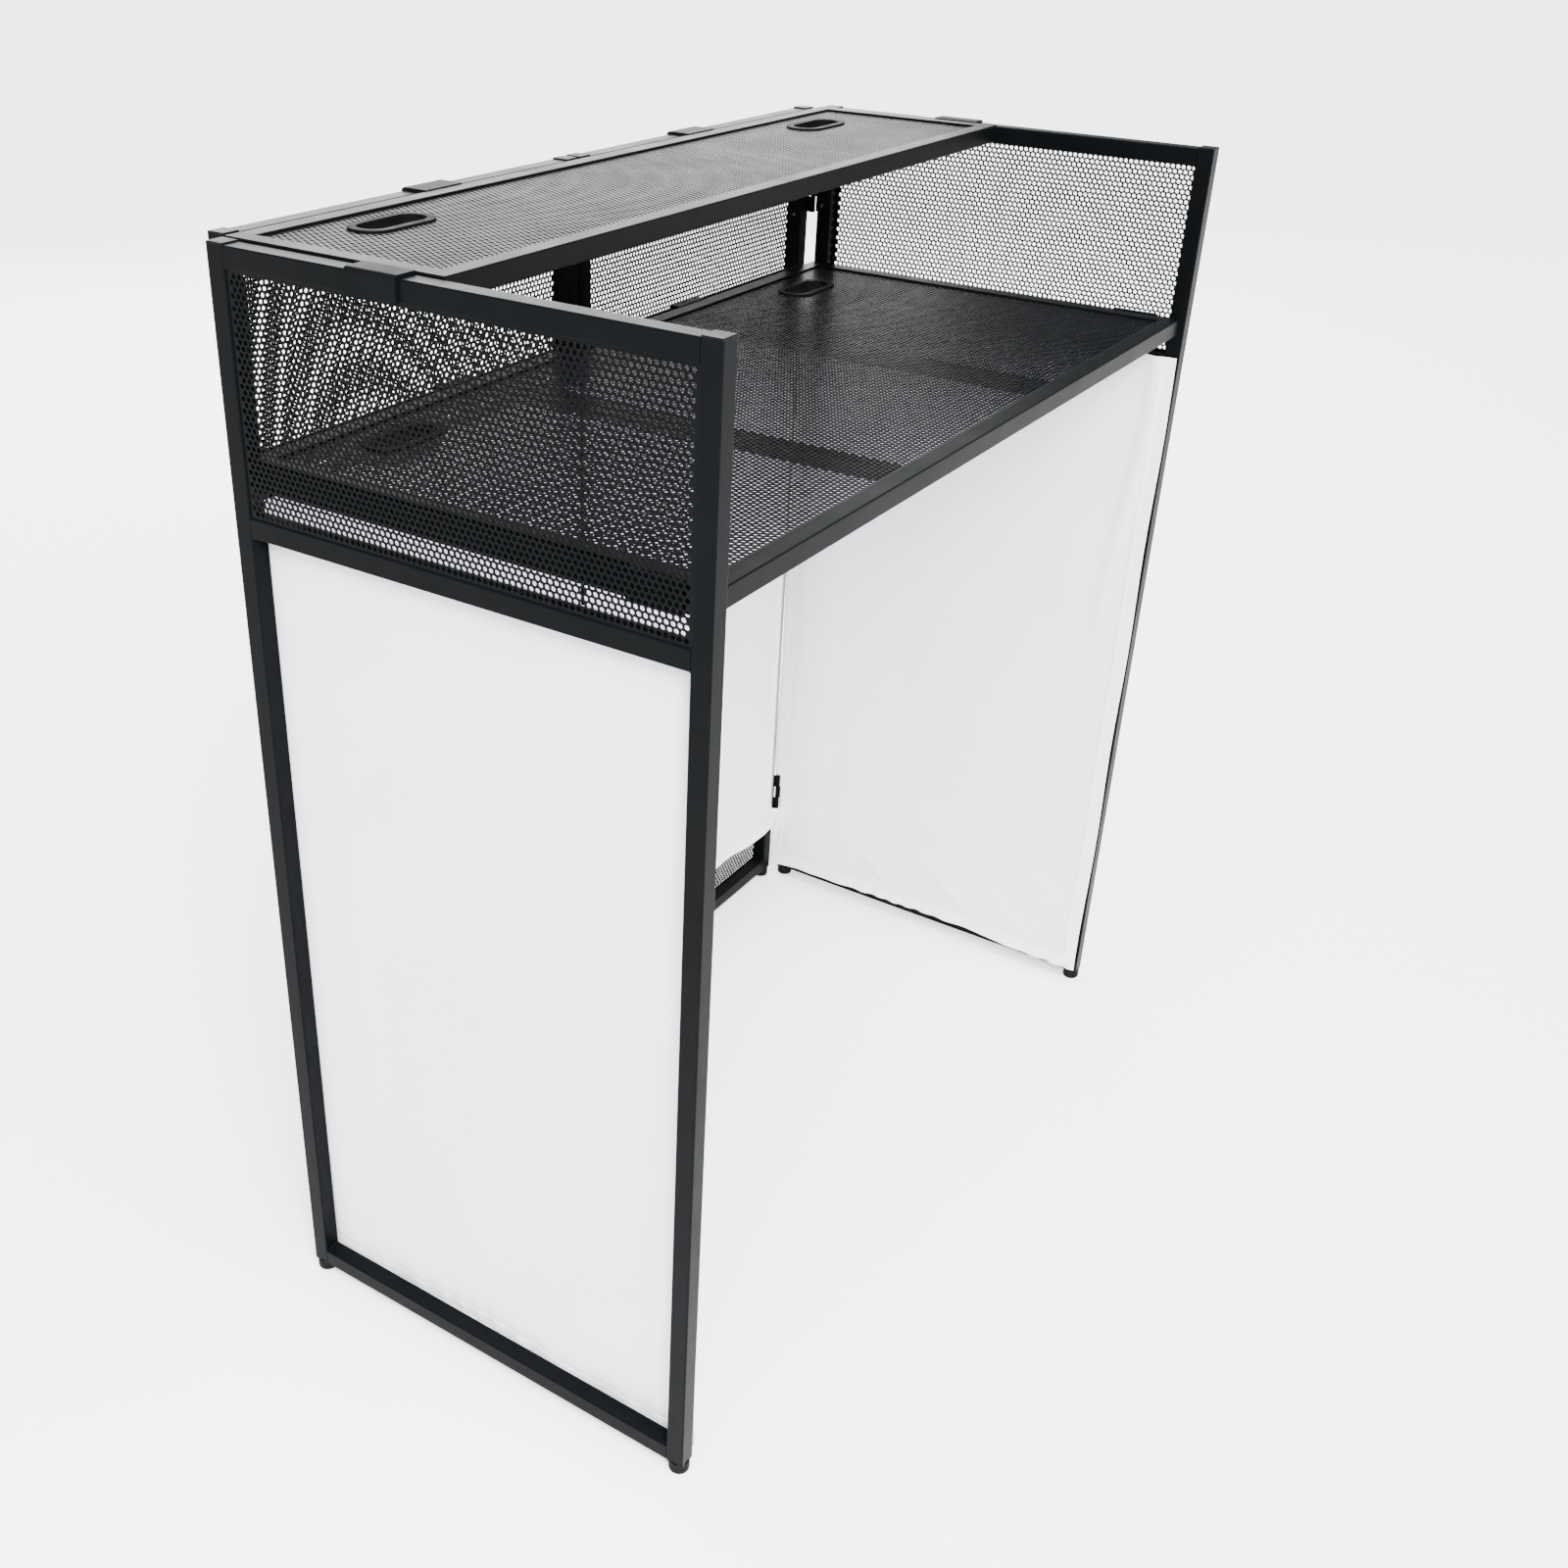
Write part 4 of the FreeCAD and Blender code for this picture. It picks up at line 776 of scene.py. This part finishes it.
knit_single = add_node(
    knit_tree,
    "ShaderNodeMix",
    {"Factor": soil.outputs["Fac"], "A": linear("#d0d0d7"), "B": linear("#dadae0")},
    data_type="RGBA",
)
doubled = add_node(knit_tree, "ShaderNodeAttribute", attribute_name="hem")
knit_shade = add_node(
    knit_tree,
    "ShaderNodeMix",
    {"Factor": doubled.outputs["Fac"], "A": knit_single.outputs["Result"], "B": linear("#e4e4ea")},
    data_type="RGBA",
)
knit_bump = add_node(
    knit_tree, "ShaderNodeBump", {"Strength": 0.25, "Distance": 0.0003, "Height": loops.outputs["Value"]}
)
knit_shader = add_node(
    knit_tree,
    "ShaderNodeBsdfPrincipled",
    {
        "Base Color": knit_shade.outputs["Result"],
        "Normal": knit_bump.outputs["Normal"],
        "Roughness": 0.9,
        "Specular IOR Level": 0.2,
        "Sheen Weight": 0.15,
        "Sheen Roughness": 0.5,
        "Subsurface Weight": 0.6,
        "Subsurface Radius": (1.0, 1.0, 1.0),
        "Subsurface Scale": 0.0015,
    },
)
add_node(knit_tree, "ShaderNodeOutputMaterial", {"Surface": knit_shader.outputs["BSDF"]})


def grid_lines(length):
    """Places of the mesh lines across a scrim: close at the hems, even between them."""
    hem_lines = [0.0, 0.0012, HEM / 2, HEM - STITCH_INSET, HEM - HEM_BLEND, HEM + HEM_BLEND, HEM + 0.003]
    count = max(1, round((length - 2 * hem_lines[-1]) / CLOTH_STEP))
    step = (length - 2 * hem_lines[-1]) / count
    middle = [hem_lines[-1] + step * i for i in range(1, count)]
    return hem_lines + middle + [length - line for line in reversed(hem_lines)]


def smooth_step(value, low, high):
    """0 below low, 1 above high and a smooth rise between; low may be the larger one."""
    share = min(1.0, max(0.0, (value - low) / (high - low)))
    return share * share * (3 - 2 * share)


def hump(value, middle, half_width):
    """1 in the middle, falling smoothly to 0 on both sides."""
    return math.exp(-(((value - middle) / half_width) ** 2))


def scrim(name, node, to_row, width, height, bulge, shift):
    """Hemmed sheet of cloth in place of a flat solid.

    Across runs over its width and up over its height; bulge is how far it stands out, shift moves it in
    its own plane, and to_row turns these into the frame of the booth.
    """
    across = grid_lines(width)
    up = grid_lines(height)
    points = []
    hem_shares = []
    for v in up:
        for u in across:
            edge = min(u, width - u, v, height - v)
            hem_share = smooth_step(edge, HEM + HEM_BLEND, HEM - HEM_BLEND)
            hem_shares.append(hem_share)
            stitch = STITCH_DIP * hump(edge, HEM - STITCH_INSET, STITCH_WIDTH)
            du, dv = shift(u, v)
            points.append(to_row(u + du, v + dv, bulge(u, v) + HEM_RISE * hem_share - stitch))
    columns = len(across)
    quads = []
    for j in range(len(up) - 1):
        for i in range(columns - 1):
            a = j * columns + i
            quads.append((a, a + 1, a + columns + 1, a + columns))
    mesh = bpy.data.meshes.new(name)
    mesh.from_pydata(points, [], quads)
    layer = mesh.uv_layers.new(name="cloth")
    for loop in mesh.loops:
        j, i = divmod(loop.vertex_index, columns)
        layer.data[loop.index].uv = (across[i], up[j])
    mesh.attributes.new("hem", "FLOAT", "POINT").data.foreach_set("value", hem_shares)
    mesh.materials.append(knit)
    mesh.shade_smooth()
    item = new_object(name, mesh)
    thickness = item.modifiers.new("thickness", "SOLIDIFY")
    thickness.thickness = CLOTH_THICKNESS
    thickness.offset = 0.0
    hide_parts(node)
    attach(item, "frame")


# Slack of a side scrim in metres: u runs forward from its rear edge and v up from its lower edge.
SIDE_WIDTH = 0.518
SIDE_HEIGHT = 0.921
SHARP_FOLD = 0.0022
SOFT_FOLD = 0.0014
REAR_FOLD = 0.0045
REAR_FOLD_PLACE = 0.036
REAR_FOLD_SWAY = 0.012
CREASES = ((0.165, 0.0055), (0.30, 0.0035), (0.075, 0.0030))
CREASE_COS = 0.795
CREASE_SIN = 0.606
CREASE_FOOT = 0.02
CREASE_WIDTH = 0.007
HEM_RIPPLE = 0.0017
LOW_RIPPLE = 0.0016
SIDE_SLACK = 0.0012


def side_bulge(u, v, creased):
    """Slack towards the inside: soft upright folds near both posts, slanting creases and a rippled hem."""
    fold = SHARP_FOLD * hump(u, 0.452, 0.014) * smooth_step(v, 0.9, 0.5)
    fold += SOFT_FOLD * hump(u, 0.405, 0.03) * smooth_step(v, 0.8, 0.3)
    rear_place = REAR_FOLD_PLACE - REAR_FOLD_SWAY * math.sin(v * 9)
    fold += REAR_FOLD * hump(u, rear_place, 0.009) * smooth_step(v, 0.3, 0.8)
    creases = 0.0
    for start, height in CREASES:
        along = CREASE_COS * (u - start) + CREASE_SIN * (v - CREASE_FOOT)
        across = CREASE_SIN * (u - start) - CREASE_COS * (v - CREASE_FOOT)
        span = smooth_step(along, -0.01, 0.02) * smooth_step(along, 0.15, 0.06)
        creases += height * hump(across, 0.0, CREASE_WIDTH) * span
    ripple = HEM_RIPPLE * hump(v, 0.0, 0.03) * (1 + math.sin(u * 150 + 5 * math.sin(u * 21)))
    ripple += LOW_RIPPLE * hump(v, 0.0, 0.12) * (1 + math.sin(u * 25 + v * 30))
    slack = SIDE_SLACK * math.sin(math.pi * u / SIDE_WIDTH) * math.sin(math.pi * v / SIDE_HEIGHT)
    return fold + creased * creases + ripple + slack


LOOSE_REACH = 0.014
HINGE_LEVEL = 0.112
CORNER_FLARE = 0.009
EDGE_PULL = 0.0009
HEM_SAG = 0.0040
HEM_LIFT = 0.0075
HEM_WAVE = 0.0005


def side_shift(u, v):
    """Front edge loose past the post but not at the lower hinge, flared corner, taped edges, bowed hem."""
    reach = LOOSE_REACH * smooth_step(u, 0.40, SIDE_WIDTH) * (1 - 0.9 * hump(v, HINGE_LEVEL, 0.036))
    flare = CORNER_FLARE * smooth_step(u, 0.47, SIDE_WIDTH) * hump(v, 0.0, 0.02)
    pull = EDGE_PULL * math.sin(v * 21) * (smooth_step(u, 0.06, 0.0) - smooth_step(u, 0.458, SIDE_WIDTH))
    sag = HEM_SAG - HEM_LIFT * hump(u, 0.29, 0.17) + HEM_WAVE * math.sin(u * 90)
    return reach + flare + pull, -sag * smooth_step(v, 0.06, 0.0)


for side, sign, creased in (("left", -1, 0.25), ("right", 1, 1.0)):
    low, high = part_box(f"{side}_panel_scrim")
    plane = (low[0] + high[0]) / 2

    def side_to_row(u, v, out, low=low, plane=plane, sign=sign):
        return plane - sign * out, low[1] + u, low[2] + v

    scrim(
        f"{side}_side_scrim",
        f"{side}_panel_scrim",
        side_to_row,
        high[1] - low[1],
        high[2] - low[2],
        partial(side_bulge, creased=creased),
        side_shift,
    )


# Front scrims: the same knit on the front panels, taped along the middle rail and the posts. The lower edge
# hangs free over the kick sheet, and the outer edge leaves a narrow strip of the post bare in the corner.
# Here u runs outward from the edge near the middle of the booth.
FRONT_WIDTH = 0.513
FRONT_HEIGHT = 0.859
HANGING_FOLD = 0.0022
FRONT_SLACK = 0.0012


def front_bulge(u, v):
    """Slack towards the inside between the taped edges, growing to the free lower edge."""
    between = smooth_step(u, 0.0, 0.03) * smooth_step(u, FRONT_WIDTH, 0.48)
    fold = smooth_step(v, 0.35, 0.0) * HANGING_FOLD * (1 + math.sin(u * 27 + 1.3))
    fold += FRONT_SLACK * math.sin(math.pi * v / FRONT_HEIGHT) * (1 + math.sin(u * 14))
    return between * fold


DRAWN_IN = 0.0115
FOOT_REACH = 0.016
LOWER_RISE = 0.011
CORNER_DROP = 0.008
LOWER_WAVE = 0.002


def front_shift(u, v):
    """Outer edge drawn in above a foot that reaches out, and lower edge that rises away from the corner."""
    drawn = -DRAWN_IN * smooth_step(u, 0.38, FRONT_WIDTH)
    foot = FOOT_REACH * smooth_step(u, 0.42, FRONT_WIDTH) * hump(v, 0.015, 0.022)
    rise = LOWER_RISE - CORNER_DROP * smooth_step(u, 0.40, FRONT_WIDTH) + LOWER_WAVE * math.sin(u * 55)
    return drawn + foot, rise * hump(v, 0.0, 0.10)


for side, sign in (("left", -1), ("right", 1)):
    low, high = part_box(f"front_{side}_scrim")
    plane = (low[1] + high[1]) / 2
    inner_edge = low[0] if sign > 0 else high[0]

    def front_to_row(u, v, out, inner_edge=inner_edge, plane=plane, sign=sign, bottom=low[2]):
        return inner_edge + sign * u, plane - out, bottom + v

    scrim(
        f"front_{side}_hung_scrim",
        f"front_{side}_scrim",
        front_to_row,
        high[0] - low[0],
        high[2] - low[2],
        front_bulge,
        front_shift,
    )


# Shelf: a mitred frame of the same tube with a punched sheet set in, hung on the top rails by bent plates
# that are welded to its edges with two short beads each.
finish_nodes(plate_coat, "shelf_front_hooks", "shelf_side_hooks")
perforated_sheet("shelf_sheet", "shelf", "up", parts=2, ports=("shelf_left_port", "shelf_right_port"))

HOOK_WIDTH = 0.055
HOOK_BEAD = 0.014
HOOK_BEAD_INSET = 0.003
HOOK_BEAD_DEPTH = 1.2 * BEAD_RADIUS


def hook_welds(body):
    """Beads along the top of the joints between the hooks and the frame of a shelf or table."""
    seams = []
    bead_starts = (HOOK_BEAD_INSET, HOOK_WIDTH - HOOK_BEAD_INSET - HOOK_BEAD)
    low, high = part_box(f"{body}_front_hooks")
    y = low[1] + SEAM_OFFSET
    z = high[2] - HOOK_BEAD_DEPTH
    for hook_start in (low[0], high[0] - HOOK_WIDTH):
        for start in bead_starts:
            x = hook_start + start
            seams.append(((x, y, z), (x + HOOK_BEAD, y, z)))
    low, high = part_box(f"{body}_side_hooks")
    for rail, sign in (("left", -1), ("right", 1)):
        rail_low, rail_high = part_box(f"{body}_{rail}_rail")
        x = rail_low[0] - SEAM_OFFSET if sign < 0 else rail_high[0] + SEAM_OFFSET
        for start in bead_starts:
            y = low[1] + start
            seams.append(((x, y, z), (x, y + HOOK_BEAD, z)))
    weld(f"{body}_hook_welds", seams, body)


hook_welds("shelf")


# Cable ports: moulded black sleeves with a rounded rim, pressed into the punched sheets of the shelf and the
# table.
port_plastic = moulded("moulded_abs_port", "#060607", "#0c0c0e", rough=0.5, grain=0.0012, specular=0.012)
finish_nodes(port_plastic, "shelf_left_port", "shelf_right_port", "table_left_port", "table_right_port")


# Table: a deeper frame of the same build with two crossbars under the sheet, hung on the ledge bars by the
# same bent plates.
finish_nodes(plate_coat, "table_front_hooks", "table_side_hooks")
perforated_sheet("table_sheet", "table", "up", parts=4, ports=("table_left_port", "table_right_port"))
hook_welds("table")


# Studio: a wide pale floor under a broad soft light, with a soft box by the camera and a long low one beyond
# the booth that gives the glare on the shelf, as for a catalogue picture.
FLOOR_HALF = 30.0
floor_corners = [(sx * FLOOR_HALF, sy * FLOOR_HALF, 0.0) for sx, sy in ((-1, -1), (1, -1), (1, 1), (-1, 1))]
floor_mesh = bpy.data.meshes.new("floor")
floor_mesh.from_pydata(floor_corners, [], [(0, 1, 2, 3)])
floor_paint, floor_tree = new_material("pale_studio_floor")
floor_shader = add_node(
    floor_tree,
    "ShaderNodeBsdfPrincipled",
    {"Base Color": linear("#f7f7f7"), "Roughness": 0.9, "Specular IOR Level": 0.1},
)
add_node(floor_tree, "ShaderNodeOutputMaterial", {"Surface": floor_shader.outputs["BSDF"]})
floor_mesh.materials.append(floor_paint)
new_object("floor", floor_mesh)

world = bpy.data.worlds.new("studio")
bpy.context.scene.world = world
world.use_nodes = True
world.node_tree.nodes["Background"].inputs["Color"].default_value = linear("#f4f6fa")
world.node_tree.nodes["Background"].inputs["Strength"].default_value = 0.9


def aim_lamp(lamp, place, target):
    """Lamp at a place, turned towards a point."""
    item = new_object(lamp.name, lamp)
    item.location = place
    item.rotation_euler = (Vector(target) - Vector(place)).to_track_quat("-Z", "Y").to_euler()


broad_light = bpy.data.lights.new("broad_light", "SUN")
broad_light.energy = 13.0
broad_light.angle = math.radians(70)
aim_lamp(broad_light, (-1.2, -1.4, 4.5), (0.0, 0.0, 0.45))

near_box = bpy.data.lights.new("near_soft_box", "AREA")
near_box.size = 0.7
near_box.energy = 210
aim_lamp(near_box, (-1.9, -1.5, 2.3), (-0.2, 0.0, 0.7))

low_box = bpy.data.lights.new("low_soft_box", "AREA")
low_box.shape = "RECTANGLE"
low_box.size = 4.7
low_box.size_y = 2.5
low_box.energy = 335
aim_lamp(low_box, (3.4, 3.65, 2.65), (0.0, 0.0, 1.19))


# Camera: behind the left of the booth and above the shelf, solved from the straight edges in the picture.
# Its axis meets the picture off the centre, so the lens is shifted.
IMAGE_SIDE = 1600
FOCAL_PIXELS = 1723.2
MIDDLE_X = 673.0
MIDDLE_Y = 789.6
AZIMUTH = math.radians(-56.5462)
ELEVATION = math.radians(29.0869)
ROLL = math.radians(1.2117)
CAMERA_PLACE = (-1.5587456, -0.8996428, 1.5005792)
back = Vector(
    (
        math.sin(AZIMUTH) * math.cos(ELEVATION),
        -math.cos(AZIMUTH) * math.cos(ELEVATION),
        math.sin(ELEVATION),
    )
)
level_right = Vector((0, 0, 1)).cross(back).normalized()
level_up = back.cross(level_right)
right = level_right * math.cos(ROLL) + level_up * math.sin(ROLL)
up = level_up * math.cos(ROLL) - level_right * math.sin(ROLL)
camera_data = bpy.data.cameras.new("camera")
camera_data.sensor_width = 36.0
camera_data.lens = FOCAL_PIXELS / IMAGE_SIDE * camera_data.sensor_width
camera_data.shift_x = (IMAGE_SIDE / 2 - MIDDLE_X) / IMAGE_SIDE
camera_data.shift_y = (MIDDLE_Y - IMAGE_SIDE / 2) / IMAGE_SIDE
camera_data.clip_end = 200.0
camera = new_object("camera", camera_data)
camera.matrix_world = Matrix.Translation(CAMERA_PLACE) @ Matrix((right, up, back)).transposed().to_4x4()
bpy.context.scene.camera = camera
